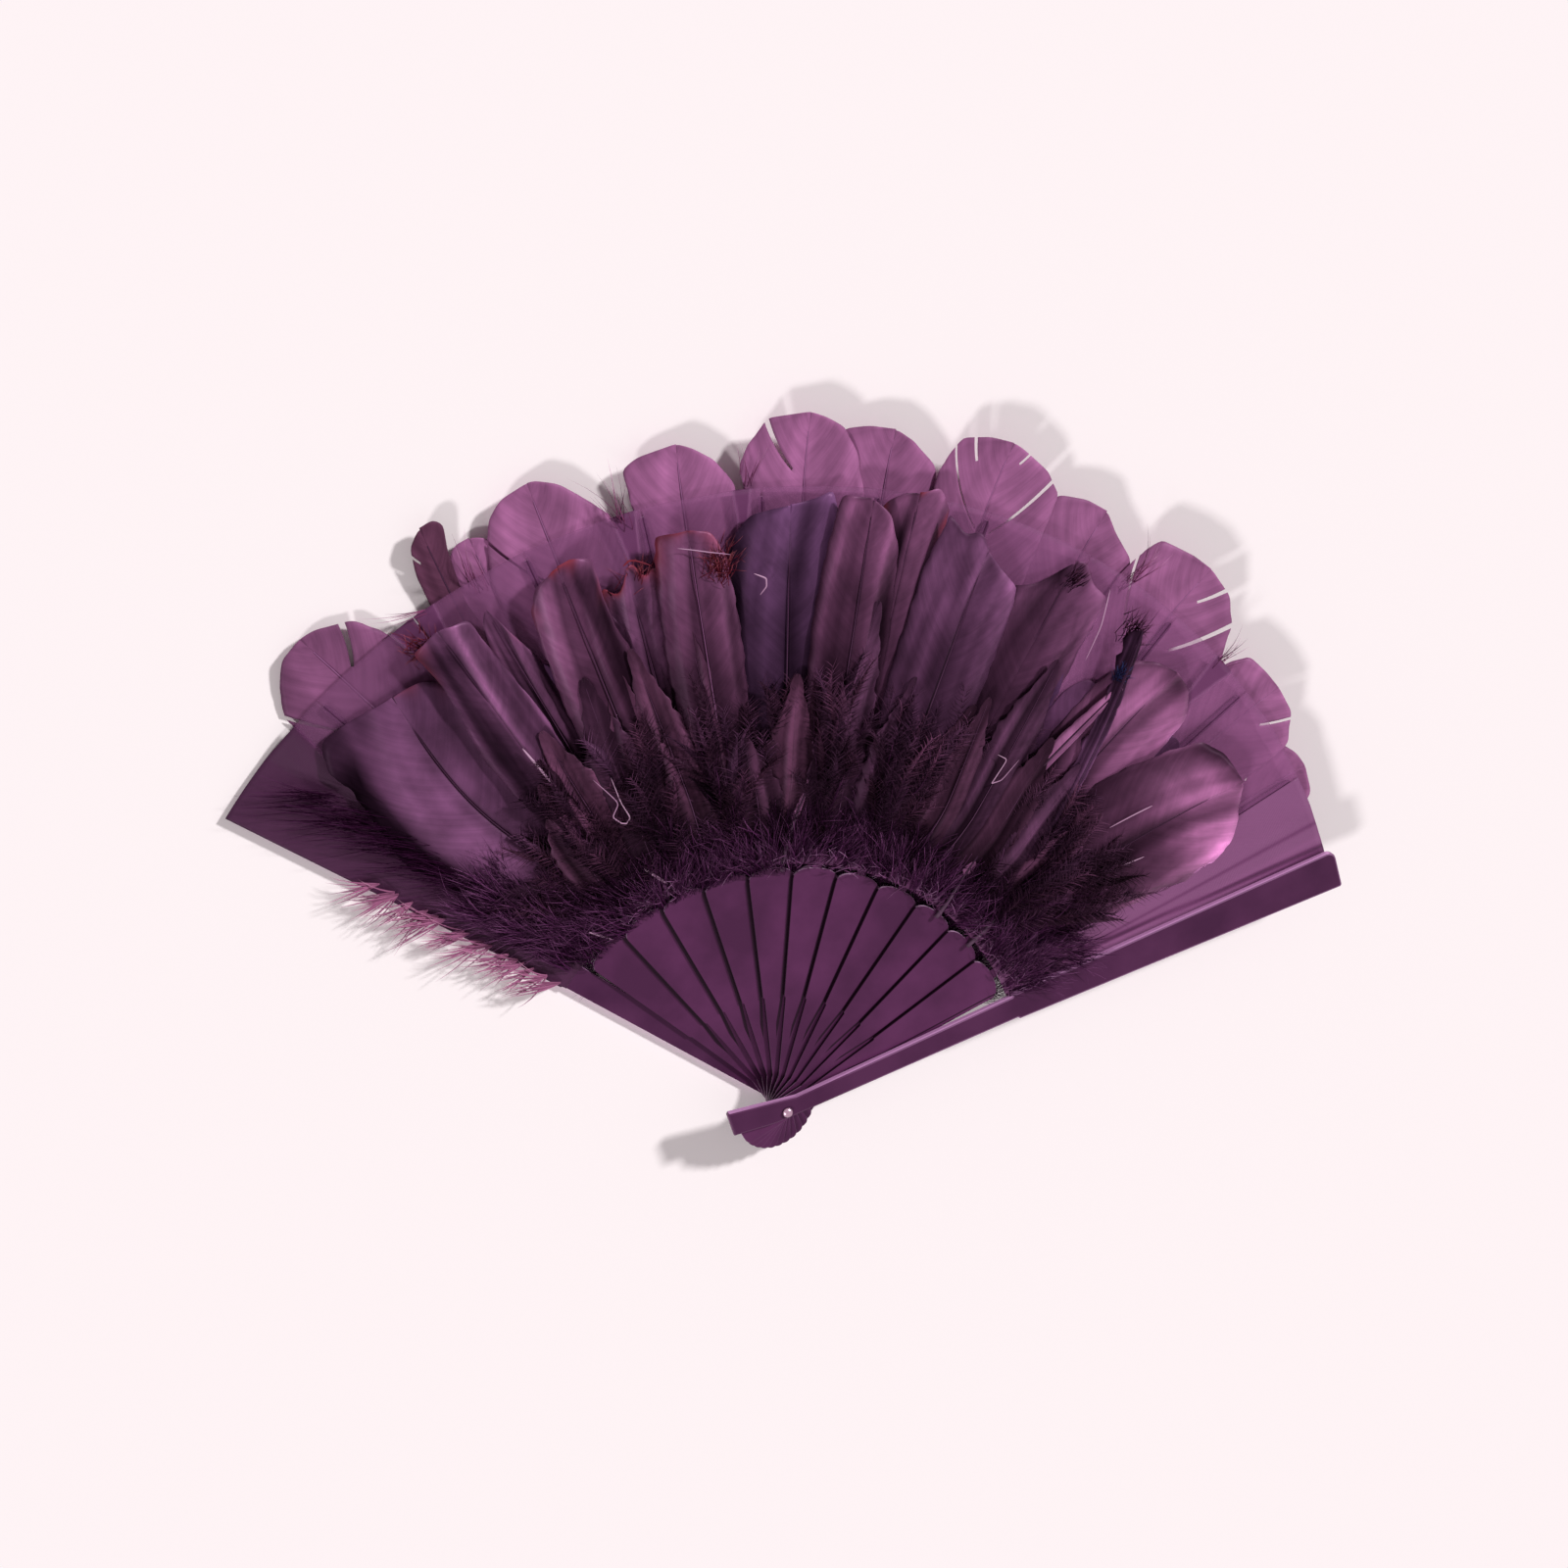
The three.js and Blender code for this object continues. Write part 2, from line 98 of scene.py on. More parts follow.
# The tone, painted shade on the left gores and painted light on the right ones, and the
# closeness of the weave, from the left gore to the right one. Where no feather lies behind the leaf, the
# weave is LEAF_DENSE, and where one does, the leaf is sheerer and its tone is raised: a painted glow
LEAF_PAINTED_LIGHT = ((0.0, 0.1, 0.2, 0.9, 1.0), (0.5, 0.8, 1.0, 1.1, 1.6))
LEAF_COVERS = ((0.0, 0.09, 0.18, 0.5, 0.85, 0.95, 1.0), (0.24, 0.24, 0.24, 0.22, 0.24, 0.3, 0.95))
LEAF_DENSE = 0.97
LEAF_PAINTED_GLOW = 3.0
# Painted shade and light along the pleats on the last gore: share of its width, and how much darker they
# are, lighter where below zero
PAINTED_PLEAT_LINES = ((0.5, 0.3), (0.66, -0.25), (0.8, 0.5))
PLEAT_WIDTH_SHARE = 0.025
# The painted shadow on the leaf along the front guard: its distance from the guard, its width and its depth
GUARD_SHADOW_LINE = (9.6, 1.0, 0.6)

# Feathers
FRONT_ROOT = 93.0
BACK_ROOT = 106.0
SMALL_ROOT = 88.0
FRONT_SEAT = 0.3
SEAT_MARGIN = 0.15
FEATHER_THICK = 0.35
FRONT_CAMBER = 2.4
LAYER_GAP = 0.35
LOWER_RISE = 42.0
UPPER_RISE = 24.0
LIFT_RUN = 30.0
BACK_GAP = 0.95
BACK_LAYER = 1.0
BACK_TIP_START = 206.0
BACK_TIP_LENGTH = 24.0
BACK_TIP_RISE = 3.0
VANE_THICK = 0.16
VANE_ACROSS = 20
BARB_STEPS = 13
# A barb's slant to the shaft at the root, doubled at the tip, and where along it it bends
BARB_SLANT = 0.75
BARB_BEND = 0.38
# A slit's width as a share of the outline, and how far its opening pushes the barbs aside
SLIT_SHARE = 0.0015
SLIT_REACH = 0.05
QUILL_ROOT_RADIUS = 0.75
QUILL_TIP_RADIUS = 0.2
QUILL_OVERRUN = 3.0
QUILL_ABOVE = 0.1
QUILL_STEPS = 26
TUBE_SIDES = 8
# A tip's measured points take over from the half widths this far before the first of them
TIP_RUN = 14
# Degrees round the quarter of an ellipse that makes a plain tip
ROUND_TIP = [0, 22, 45, 65, 80]
EDGE_ROUND = 3.0
EDGE_STEPS = 600

# Hairs of down: radii, radius at the point, and how high one arches for its length
HAIR_RADII = (0.09, 0.16)
HAIR_POINT = 0.01
HAIR_ARCH = 0.18

# Camera fitted to the lines between the blades: where it looks and from where
CAMERA_AZIMUTH = 141.49
CAMERA_TILT = 25.16
CAMERA_DISTANCE = 783.9
CAMERA_ROLL = 8.99
LOOK_AT = (-12.33, 107.43, 0.0)
FOCAL_PIXELS = 2461.3
PICTURE_PIXELS = 1600
SENSOR = 36.0

# Sizes of the patterns in the finishes. Threads 0.2 mm and barbs 0.4 mm apart are too fine
# to show in the picture, so they are drawn coarser
FLOW_MARK = 22.2222
MOULD_GRAIN = 1.11111
PLATE_WEAR = 1.42857
THREAD_DRAWN = 0.571199
LEAF_CLOUD = 20.0
BARB_DRAWN = 0.625
BARB_LOCK = 3.33333
BARB_STRETCH = 20.0
DYE_PATCH = 16.6667
# Distance between the bands of a wave texture whose scale is 1
WAVE_TURN = 2 * math.pi / 20

FLOOR_SIZE = 6.0
FLOOR_COLOUR = "#fff6f7"
UP = np.array([0.0, 0.0, 1.0])
TURN = 6.28

# Half width along a feather, as shares of its length and its half width
ROW_SHARES = np.array([0, 0.08, 0.2, 0.34, 0.48, 0.62, 0.75, 0.85, 0.93, 1.0])
BROAD_SHARES = np.array([0, 0.3, 0.6, 0.82, 0.94, 1.0, 1.0, 0.97, 0.92, 0.86])
SLIM_SHARES = np.array([0, 0.3, 0.56, 0.74, 0.88, 0.97, 1.0, 0.94, 0.84, 0.72])
POINTED_SHARES = np.array([0, 0.45, 0.8, 0.97, 1.0, 0.93, 0.76, 0.58, 0.42, 0.25])

# A feather's look where nothing else is said. blunt is the length of a plain round tip,
# rows the barbs on a side, ragged the roughness of its edge; bow, ripple, curl and fold are
# heights in millimetres; the fold shade, rim, side light and bands paint light and shade into
# the tone over the vane: painted shade that follows the folds, a painted highlight on the
# right rim and painted shade on the left, one side painted lighter than the other, and bands
# of painted shade and highlight; quill and shaft are the shaft's tone and thickness
PLAIN_LOOK = dict(
    shares=BROAD_SHARES, left=(), right=(), slits=(), bent=0.0, lean=0.0, blunt=14.0, rows=110,
    ragged=0.012, bow=1.0, ripple=0.4, curl=1.0, fold=0.0, streak=0.0, rim=0.0, tone=1.0,
    fade_at=(0, 1), fade=(1, 1), slope=0.0, bands=(), red=0.0, red_rim=6, red_side=0, violet=0.5,
    quill=1.0, shaft=1.0)


def linear(hex_colour):
    """An sRGB hex colour as linear red, green, blue and alpha 1."""
    channels = [int(hex_colour[i:i + 2], 16) / 255 for i in (1, 3, 5)]
    curve = [c / 12.92 if c <= 0.04045 else ((c + 0.055) / 1.055) ** 2.4 for c in channels]
    return (*curve, 1.0)


def add_node(tree, kind, inputs=(), output=0, **settings):
    """Adds one node and gives one of its outputs. Settings are its properties, and inputs
    its sockets' numbers, their hex colours, or the outputs that feed them."""
    node = tree.nodes.new("ShaderNode" + kind)
    for name, value in settings.items():
        setattr(node, name, value)
    for slot, value in dict(inputs).items():
        if isinstance(value, bpy.types.NodeSocket):
            tree.links.new(value, node.inputs[slot])
        else:
            node.inputs[slot].default_value = linear(value) if isinstance(value, str) else value
    return node.outputs[output] if node.outputs else None


# The settings of add_node that mix two colours, in sockets 6 and 7, by socket 0
COLOURS = dict(output=2, data_type="RGBA")


def new_material(name):
    """An empty node material, and the function that adds nodes to it."""
    material = bpy.data.materials.new(name)
    material.use_nodes = True
    material.node_tree.nodes.clear()
    return material, partial(add_node, material.node_tree)


def stick_angle(k):
    """Direction of stick k."""
    return MIDDLE + (RIB_COUNT + 1 - 2 * k) * PITCH / 2


def rib_z(k):
    """Height of the underside of rib k."""
    return FIRST_Z + (k - 1) * STEP_Z


def ramp_z(angle):
    """Height of the ribs' undersides as one even ramp round the fan."""
    return FIRST_Z + (stick_angle(1) - angle) / PITCH * STEP_Z


def leaf_top(radius, angle):
    """Height of the leaf's upper face along its ridges."""
    return ramp_z(angle) + SLIP_THICK + LEAF_GAP + LEAF_THICK + LEAF_RIDGE * radius / LEAF_OUTER


def smooth(x):
    """An even rise from 0 to 1 as x runs from 0 to 1, level at both ends."""
    t = np.clip(x, 0, 1)
    return t * t * (3 - 2 * t)


def unit(vectors):
    """Vectors scaled to a length of 1."""
    return vectors / np.maximum(np.linalg.norm(vectors, axis=1, keepdims=True), 1e-9)


def wave(x, seed, octaves=3):
    """A smooth random line over x: sines of rising pitch and falling height."""
    rng = np.random.default_rng(seed)
    total = np.zeros_like(np.asarray(x, float))
    for i in range(octaves):
        total += np.sin(x * 2 ** i * rng.uniform(0.8, 1.2) + rng.uniform(0, TURN)) / 2 ** i
    return total / 2


def body_of_stick(k):
    """The name of the body that stick k is."""
    if k == 0:
        return "back_guard"
    return "front_guard" if k > RIB_COUNT else f"rib_{k:02d}"


def rides(thing, stick):
    """A piece rides on a stick: it is parented to the stick's body and gets a mesh of its own."""
    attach(thing, body_of_stick(stick))
    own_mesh(thing)


def mesh_object(name, points, faces, attributes, materials, uv=None, slots=None):
    """A mesh object from points in millimetres and faces, with attributes and a UV for each
    point, and its material numbers."""
    mesh = bpy.data.meshes.new(name)
    sizes = np.array([len(f) for f in faces], np.int32)
    corners = np.concatenate([np.asarray(f, np.int32) for f in faces])
    mesh.vertices.add(len(points))
    mesh.vertices.foreach_set("co", (np.asarray(points) * MM).astype(np.float32).ravel())
    mesh.loops.add(len(corners))
    mesh.loops.foreach_set("vertex_index", corners)
    mesh.polygons.add(len(sizes))
    mesh.polygons.foreach_set("loop_start", (np.cumsum(sizes) - sizes).astype(np.int32))
    mesh.polygons.foreach_set("loop_total", sizes)
    mesh.polygons.foreach_set("use_smooth", np.ones(len(sizes), bool))
    if slots is not None:
        mesh.polygons.foreach_set("material_index", np.asarray(slots, np.int32))
    if uv is not None:
        layer = mesh.uv_layers.new(name="UVMap")
        layer.data.foreach_set("uv", np.asarray(uv)[corners].astype(np.float32).ravel())
    for key, values in attributes.items():
        attribute = mesh.attributes.new(key, "FLOAT", "POINT")
        attribute.data.foreach_set("value", np.asarray(values).astype(np.float32))
    mesh.update()
    mesh.validate()
    thing = bpy.data.objects.new(name, mesh)
    bpy.context.scene.collection.objects.link(thing)
    for material in materials:
        mesh.materials.append(material)
    return thing


def grid_quads(rows, columns):
    """The quads of a grid of points, row after row."""
    i, j = np.meshgrid(np.arange(rows - 1), np.arange(columns - 1), indexing="ij")
    a = (i * columns + j).ravel()
    return np.stack([a, a + columns, a + columns + 1, a + 1], axis=1)


def closed_sheet(points, quads, thickness):
    """Both sides and the rims of a thin sheet: each point moved half the thickness along
    its normal, the lower side turned over, and a quad along each edge with one face."""
    a, b, c, d = (points[quads[:, i]] for i in range(4))
    face_normals = np.cross(c - a, d - b)
    normals = np.zeros_like(points)
    for i in range(4):
        np.add.at(normals, quads[:, i], face_normals)
    offset = unit(normals) * thickness / 2
    count = len(points)
    edges = np.concatenate([quads[:, [i, (i + 1) % 4]] for i in range(4)])
    low, high = edges.min(1).astype(np.int64), edges.max(1)
    _, first, uses = np.unique(low * count + high, return_index=True, return_counts=True)
    rim = edges[first[uses == 1]]
    walls = np.stack([rim[:, 1], rim[:, 0], rim[:, 0] + count, rim[:, 1] + count], axis=1)
    both = np.concatenate([points + offset, points - offset])
    return both, np.concatenate([quads, quads[:, ::-1] + count, walls])


def tube(path, radii):
    """A closed tube along a path of points: rings square to it, and a face over each end."""
    along = unit(np.gradient(path, axis=0))
    side = unit(np.cross(along, UP))
    up = np.cross(side, along)
    turn = np.arange(TUBE_SIDES) / TUBE_SIDES * 2 * np.pi
    ring = side[:, None] * np.cos(turn)[None, :, None] + up[:, None] * np.sin(turn)[None, :, None]
    points = (path[:, None] + ring * radii[:, None, None]).reshape(-1, 3)
    rows = np.arange(len(path) - 1)[:, None] * TUBE_SIDES
    j = np.arange(TUBE_SIDES)[None, :]
    a, b = rows + j, rows + (j + 1) % TUBE_SIDES
    quads = np.stack([a, b, b + TUBE_SIDES, a + TUBE_SIDES], axis=-1).reshape(-1, 4)
    start = np.arange(TUBE_SIDES)
    return points, [*quads, start[::-1], start + len(points) - TUBE_SIDES]


def strands(directions, roots, lengths, bends, radius, steps, ups):
    """Thin three-sided hairs, all at once: each runs from its root along its direction,
    bows towards its up vector and sideways by its bend, and tapers to a point."""
    s = np.linspace(0, 1, steps)[None, :, None]
    side = np.cross(directions, ups)
    length = lengths[:, None, None]
    path = roots[:, None] + directions[:, None] * s * length
    path = path + side[:, None] * bends[:, None, None] * length * s ** 2
    path = path + ups[:, None] * length * HAIR_ARCH * np.sin(s * np.pi * 0.8)
    turn = np.arange(3) / 3 * 2 * np.pi
    ring = side[:, None] * np.cos(turn)[None, :, None] + ups[:, None] * np.sin(turn)[None, :, None]
    taper = (1 - s ** 2)[..., None] * radius[:, None, None, None] + HAIR_POINT
    points = path[:, :, None] + ring[:, None] * taper
    count = len(roots)
    base = (np.arange(count) * steps * 3)[:, None, None]
    row = (np.arange(steps - 1) * 3)[None, :, None]
    j = np.arange(3)[None, None, :]
    a, b = base + row + j, base + row + (j + 1) % 3
    quads = np.stack([a, b, b + 3, a + 3], axis=-1).reshape(-1, 4)
    start = base[:, 0] + np.array([2, 1, 0])
    end = base[:, 0] + (steps - 1) * 3 + np.array([0, 1, 2])
    shares = np.broadcast_to(np.linspace(0, 1, steps)[None, :, None], (count, steps, 3)).ravel()
    return points.reshape(-1, 3), [*quads, *start, *end], shares


def towards(heading, rise):
    """Directions of a heading in degrees and a rise for one along."""
    turn = np.radians(heading)
    return unit(np.stack([np.cos(turn), np.sin(turn), rise], axis=1))


def square_up(directions):
    """The steepest vectors square to some directions."""
    return unit(UP - directions * directions[:, 2:3])


def hair_piece(name, finish, stick, directions, roots, lengths, bends, radii, own, steps=6,
               ups=None, arch=1.0, floor=None):
    """Hairs that ride on a stick. Each one's own number sets its tone. They bow straight up,
    by the share arch, where no up vectors are given, and keep above the floor."""
    if ups is None:
        ups = np.tile(UP, (len(roots), 1)) * arch
    points, faces, shares = strands(directions, roots, lengths, bends, radii, steps, ups)
    if floor is not None:
        points[:, 2] = np.maximum(points[:, 2], floor)
    attributes = {"along": shares, "own": np.repeat(own, 3 * steps)}
    thing = mesh_object(name, points, faces, attributes, [finish])
    rides(thing, stick)
    return thing


def polar(radius, angle, side, z):
    """Points at a radius and direction, moved sideways by side, at height z."""
    turn = np.radians(angle)
    x = radius * np.cos(turn) - side * np.sin(turn)
    y = radius * np.sin(turn) + side * np.cos(turn)
    return np.stack(np.broadcast_arrays(x, y, z), axis=-1)


def outline(length, half, shares, tips):
    """Half a feather's outline from root to tip, as points evenly spaced along it: the half
    width follows the shares up to the first measured point, then runs through these to
    the shaft's end. A moving mean over EDGE_ROUND rounds the corners."""
    until = min(x for x, _ in tips) - TIP_RUN
    body = [(length * s, half * w) for s, w in zip(ROW_SHARES, shares) if length * s < until]
    corners = np.array(body + list(tips) + [(length, 0.0)])
    run = np.concatenate([[0], np.cumsum(np.hypot(*np.diff(corners, axis=0).T))])
    even = np.linspace(0, run[-1], EDGE_STEPS)
    x, width = np.interp(even, run, corners[:, 0]), np.interp(even, run, corners[:, 1])
    reach = max(2, int(EDGE_ROUND / run[-1] * EDGE_STEPS))
    weights = np.hanning(2 * reach + 3)[1:-1]
    weights = weights / weights.sum()
    padded_x = np.concatenate([2 * x[0] - x[reach:0:-1], x, x[-2:-reach - 2:-1]])
    padded_width = np.concatenate([-width[reach:0:-1], width, -width[-2:-reach - 2:-1]])
    x, width = np.convolve(padded_x, weights, "valid"), np.convolve(padded_width, weights, "valid")
    run = np.concatenate([[0], np.cumsum(np.hypot(np.diff(x), np.diff(width)))])
    return x, width, run / run[-1], run[-1]


def vane_side(look, side, length, shares, seed):
    """One half of a vane as a grid of barbs. A barb leaves the shaft at a slant, bends
    towards the tip, and ends on the outline. At a slit two neighbours part."""
    tips = look.left if side > 0 else look.right
    if tips:
        tips = [(x, width - side * look.bent * math.sin(math.pi * min(1.0, x / length)))
                for x, width in ((radius - look.start, width) for radius, width in tips)]
    else:
        turn = np.radians(ROUND_TIP)
        end_half = look.half * look.shares[-1]
        tips = list(zip(length - look.blunt * (1 - np.sin(turn)), end_half * np.cos(turn)))
    slits = [slit[1:] for slit in look.slits if slit[0] == side]
    x, width, run, total = outline(length, look.half, shares, tips)
    places = np.linspace(0, 1, look.rows)
    for u, _, _ in slits:
        places = np.append(places, [u - SLIT_SHARE, u + SLIT_SHARE])
    places = np.unique(np.clip(places, 0, 1))
    slid = places.copy()
    for u, _, gap in slits:
        away = places - u
        slid = slid + np.sign(away) * gap / 2 / total * np.exp(-np.abs(away) / SLIT_REACH)
    slid = np.clip(slid, 0, 1)
    rough = 1 + look.ragged * wave(places * 70, seed, 4) * smooth(places * 4)
    end_x, end_y = np.interp(slid, run, x), np.interp(slid, run, width) * rough
    slant = BARB_SLANT + BARB_SLANT * places
    root_x = np.interp(places, run, x) - np.interp(places, run, width) * slant
    root_x = np.maximum.accumulate(np.clip(root_x, 0, length * 0.97))
    t = np.linspace(0, 1, BARB_STEPS)[None, :]
    mid_x = root_x + BARB_BEND * (end_x - root_x)
    mid_y = (1 - BARB_BEND) * end_y
    along = root_x[:, None] * (1 - t) ** 2 + 2 * mid_x[:, None] * t * (1 - t) + end_x[:, None] * t ** 2
    across = 2 * mid_y[:, None] * t * (1 - t) + end_y[:, None] * t ** 2
    quads = grid_quads(len(places), BARB_STEPS)
    row, column = np.divmod(quads[:, 0], BARB_STEPS)
    keep = np.ones(len(quads), bool)
    for u, depth, _ in slits:
        keep &= ~((np.abs((places[row] + places[row + 1]) / 2 - u) < SLIT_SHARE) & (t[0][column] >= depth))
    quads = quads[keep]
    barb, out = (np.broadcast_to(part, along.shape).ravel() for part in (places[:, None], t))
    return along.ravel(), side * across.ravel(), barb * total, out, quads[:, ::-1] if side > 0 else quads


def feather(name, look, start, level, materials, seed):
    """One feather on the polar ground of the fan, from a root at the radius start: two vane
    halves of barbs, laid on the level of its layer with the look's bow, curl, ripple and
    folds, and the tapered quill. Gives the object and the line of the shaft."""
    look = SimpleNamespace(**{**PLAIN_LOOK, **look, "start": start})
    length = look.reach - start
    shares = look.shares
    lean = look.lean * (1 - ROW_SHARES) - look.bent / look.half * np.sin(ROW_SHARES * np.pi)
    lean = lean * np.minimum(1, ROW_SHARES * 5 + 0.3)
    halves = [vane_side(look, side, length, shares + side * lean, seed + side) for side in (1, -1)]
    x, y, u, t = (np.concatenate([half[i] for half in halves]) for i in range(4))
    quads = np.concatenate([halves[0][4], halves[1][4] + len(halves[0][0])])
    share = x / length

    def placed(x, y, lift):
        """Points at x along the shaft and y beside it, a lift above the level."""
        share = np.clip(x / length, 0, 1)
        bend = look.bent * np.sin(share * np.pi)
        flat = polar(start + x, look.root + (look.tip - look.root) * share, y + bend, 0.0)
        round_it = np.degrees(np.arctan2(flat[:, 1], flat[:, 0]))
        flat[:, 2] = level(np.hypot(flat[:, 0], flat[:, 1]), round_it) + lift
        return flat

    def curled(share):
        """How far the tip curls up."""
        return look.curl * np.clip((share - 0.75) / 0.25, 0, 1) ** 2

    beside = np.clip(y / look.half, -1.5, 1.5)
    wide = np.interp(share, ROW_SHARES, shares)
    fold = wide * wave(beside * 6 + share * 2 + 0.6 * np.sin(share * 7), seed + 4, 4)
    bow = look.bow * (1 - np.minimum((y / look.half) ** 2, 1.6)) * wide
    ripple = look.ripple * t ** 1.5 * wave(u / 9, seed + 5) * wide
    height = bow + ripple + curled(share) + look.fold * fold
    points, faces = closed_sheet(placed(x, y, height), quads, VANE_THICK)
    tone = look.tone * np.interp(share, look.fade_at, look.fade)
    # Painted light: one side of the vane lighter than the other, and painted shade that follows the folds'
    # heights
    tone = tone * (1 + look.slope * beside) * np.exp(look.streak * fold)
    # Painted light on the rims: a highlight on the right rim and painted shade on the left one
    rim = look.rim * smooth((t - 0.78) / 0.2)
    tone = tone * np.where(y < 0, 1 + rim, 1 - 0.8 * rim)
    # Bands of painted shade, such as a shadow along an edge or in a curled tip, and of painted highlight
    # where the depth is below zero
    for low, high, near, far, depth in look.bands:
        inside = smooth((beside - low) / 0.18 + 0.5) * smooth((high - beside) / 0.18 + 0.5)
        within = smooth((share - near) / 0.12 + 0.5) * smooth((far - share) / 0.12 + 0.5)
        tone = tone * (1 - depth * inside * within)
    red = look.red * smooth((share - 0.82) / 0.16) * t ** look.red_rim
    red = red * smooth(wave(u / 7, seed + 9) * 2 + 0.8)
    red = red * np.interp(beside * look.red_side, (-0.1, 0.1), (0.0, 1.0)) ** abs(look.red_side)
    uv = np.tile(np.stack([u, t * VANE_ACROSS * np.where(y > 0, 1, -1)], axis=1), (2, 1))

    quill_x = np.linspace(-QUILL_OVERRUN, length * 0.95, QUILL_STEPS)
    along = np.clip(quill_x / length, 0, 1)
    height = look.bow * np.interp(along, ROW_SHARES, shares) + curled(along)
    path = placed(quill_x, np.zeros_like(quill_x), height + QUILL_ABOVE)
    radii = look.shaft * (QUILL_ROOT_RADIUS + (QUILL_TIP_RADIUS - QUILL_ROOT_RADIUS) * along ** 0.7)
    tube_points, tube_faces = tube(path, radii)
    count = len(tube_points)
    attributes = {
        "along": np.concatenate([np.tile(share, 2), np.repeat(along, TUBE_SIDES)]),
        "tone": np.concatenate([np.tile(tone, 2), np.full(count, look.quill)]),
        "red": np.concatenate([np.tile(red, 2), np.zeros(count)]),
        "violet": np.full(len(points) + count, look.violet),
    }
    thing = mesh_object(
        name, np.concatenate([points, tube_points]), [*faces, *(face + len(points) for face in tube_faces)],
        attributes, materials, np.concatenate([uv, np.zeros((count, 2))]),
        [0] * len(faces) + [1] * len(tube_faces))
    return thing, path


def painted_shadow_line(add, place):
    """1 on the painted shadow line beside the left edge of the next stick, where that stick's
    shadow falls, from the direction round the rivet: how far a place lies from that edge, in millimetres,
    on the even pitch."""
    x = add("SeparateXYZ", {0: place})
    direction = add("Math", {0: x.node.outputs[1], 1: x}, operation="ARCTAN2")
    flat = add("VectorMath", {0: place, 1: (1 / MM, 1 / MM, 0)}, operation="MULTIPLY")
    radius = add("VectorMath", {0: flat}, "Value", operation="LENGTH")
    turned = add("Math", {0: math.radians(stick_angle(0)), 1: direction}, operation="SUBTRACT")
    count = add("Math", {0: turned, 1: math.radians(PITCH)}, operation="DIVIDE")
    pitch = add("Math", {0: radius, 1: math.radians(PITCH)}, operation="MULTIPLY")
    half = add("MapRange", {"Value": radius, **BLADE_EDGE})
    edge = add("Math", {0: pitch, 1: half}, operation="SUBTRACT")
    part = add("Math", {0: count}, operation="FRACT")
    beside = add("Math", {0: part, 1: pitch}, operation="MULTIPLY")
    gap = add("Math", {0: edge, 1: beside}, operation="SUBTRACT")
    width = add("MapRange", {"Value": count, **PAINTED_SHADOW_WIDTH})
    full = add("Math", {0: width, 1: 0.6}, operation="MULTIPLY")
    fall = {"From Min": full, "From Max": width, "To Min": 1.0, "To Max": 0.0}
    inside = add("MapRange", {"Value": gap, **fall}, interpolation_type="SMOOTHSTEP")
    above = add("MapRange", {"Value": gap, "From Min": -0.25, "From Max": -0.1})
    return add("Math", {0: inside, 1: above}, operation="MULTIPLY")


def plastic(name, colour, mottle_colour, wall_painted_light, end_painted_glint, paints_shadow_lines):
    """Injection-moulded ABS, dyed purple: a satin gloss with faint flow marks, which the
    broad soft patches of roughness and colour show. Light and shade are painted on: the
    sides of a stick have a painted colour of their own, dark shade on the blades and a
    highlight on the guards, its end, which faces away from the rivet, a painted glint, and
    on the blades a painted shadow line runs where the next stick lies on it, wider on the
    left half of the fan."""
    material, add = new_material(name)
    place = add("TexCoord", output="Object")
    flow = add("TexNoise", {"Vector": place, "Scale": 1 / (FLOW_MARK * MM), "Detail": 4.0})
    grain = add("TexNoise", {"Vector": place, "Scale": 1 / (MOULD_GRAIN * MM), "Detail": 2.0})
    patches = add("MapRange", {"Value": flow, "From Min": 0.35, "From Max": 0.65})
    top = add("Mix", {0: patches, 6: colour, 7: mottle_colour}, **COLOURS)
    facing = add("NewGeometry", output="Normal")
    upward = add("Math", {0: add("SeparateXYZ", {0: facing}, 2)}, operation="ABSOLUTE")
    away = add("VectorMath", {0: place}, operation="NORMALIZE")
    ahead = add("VectorMath", {0: facing, 1: away}, "Value", operation="DOT_PRODUCT")
    end = add("MapRange", {"Value": ahead, "From Min": 0.35, "From Max": 0.7})
    # Painted light on the walls: the sides take the painted shade or highlight colour, and the ends, which
    # face away from the rivet, the painted glint
    side = add("Mix", {0: end, 6: wall_painted_light, 7: end_painted_glint}, **COLOURS)
    # On the guards the range is narrow, so the painted highlight spreads over their rounded rims
    steep, level = (0.3, 0.95) if paints_shadow_lines else (0.7, 0.996)
    flat = add("MapRange", {"Value": upward, "From Min": steep, "From Max": level})
    tint = add("Mix", {0: flat, 6: side, 7: top}, **COLOURS)
    if paints_shadow_lines:
        # Painted shadow: the near-black colour where the next stick's shadow falls beside its left edge
        tint = add("Mix", {0: painted_shadow_line(add, place), 6: tint, 7: "#180614"}, **COLOURS)
    gloss = {"From Min": 0.35, "From Max": 0.7, "To Min": 0.3, "To Max": 0.42}
    bump = add("Bump", {"Height": grain, "Strength": 0.12, "Distance": 0.2 * MM})
    shader = add("BsdfPrincipled", {
        "Base Color": tint, "Roughness": add("MapRange", {"Value": flow, **gloss}), "Normal": bump,
        "IOR": 1.5, "Specular IOR Level": 0.25, "Specular Tint": "#e0b8dc"})
    add("OutputMaterial", {"Surface": shader})
    return material


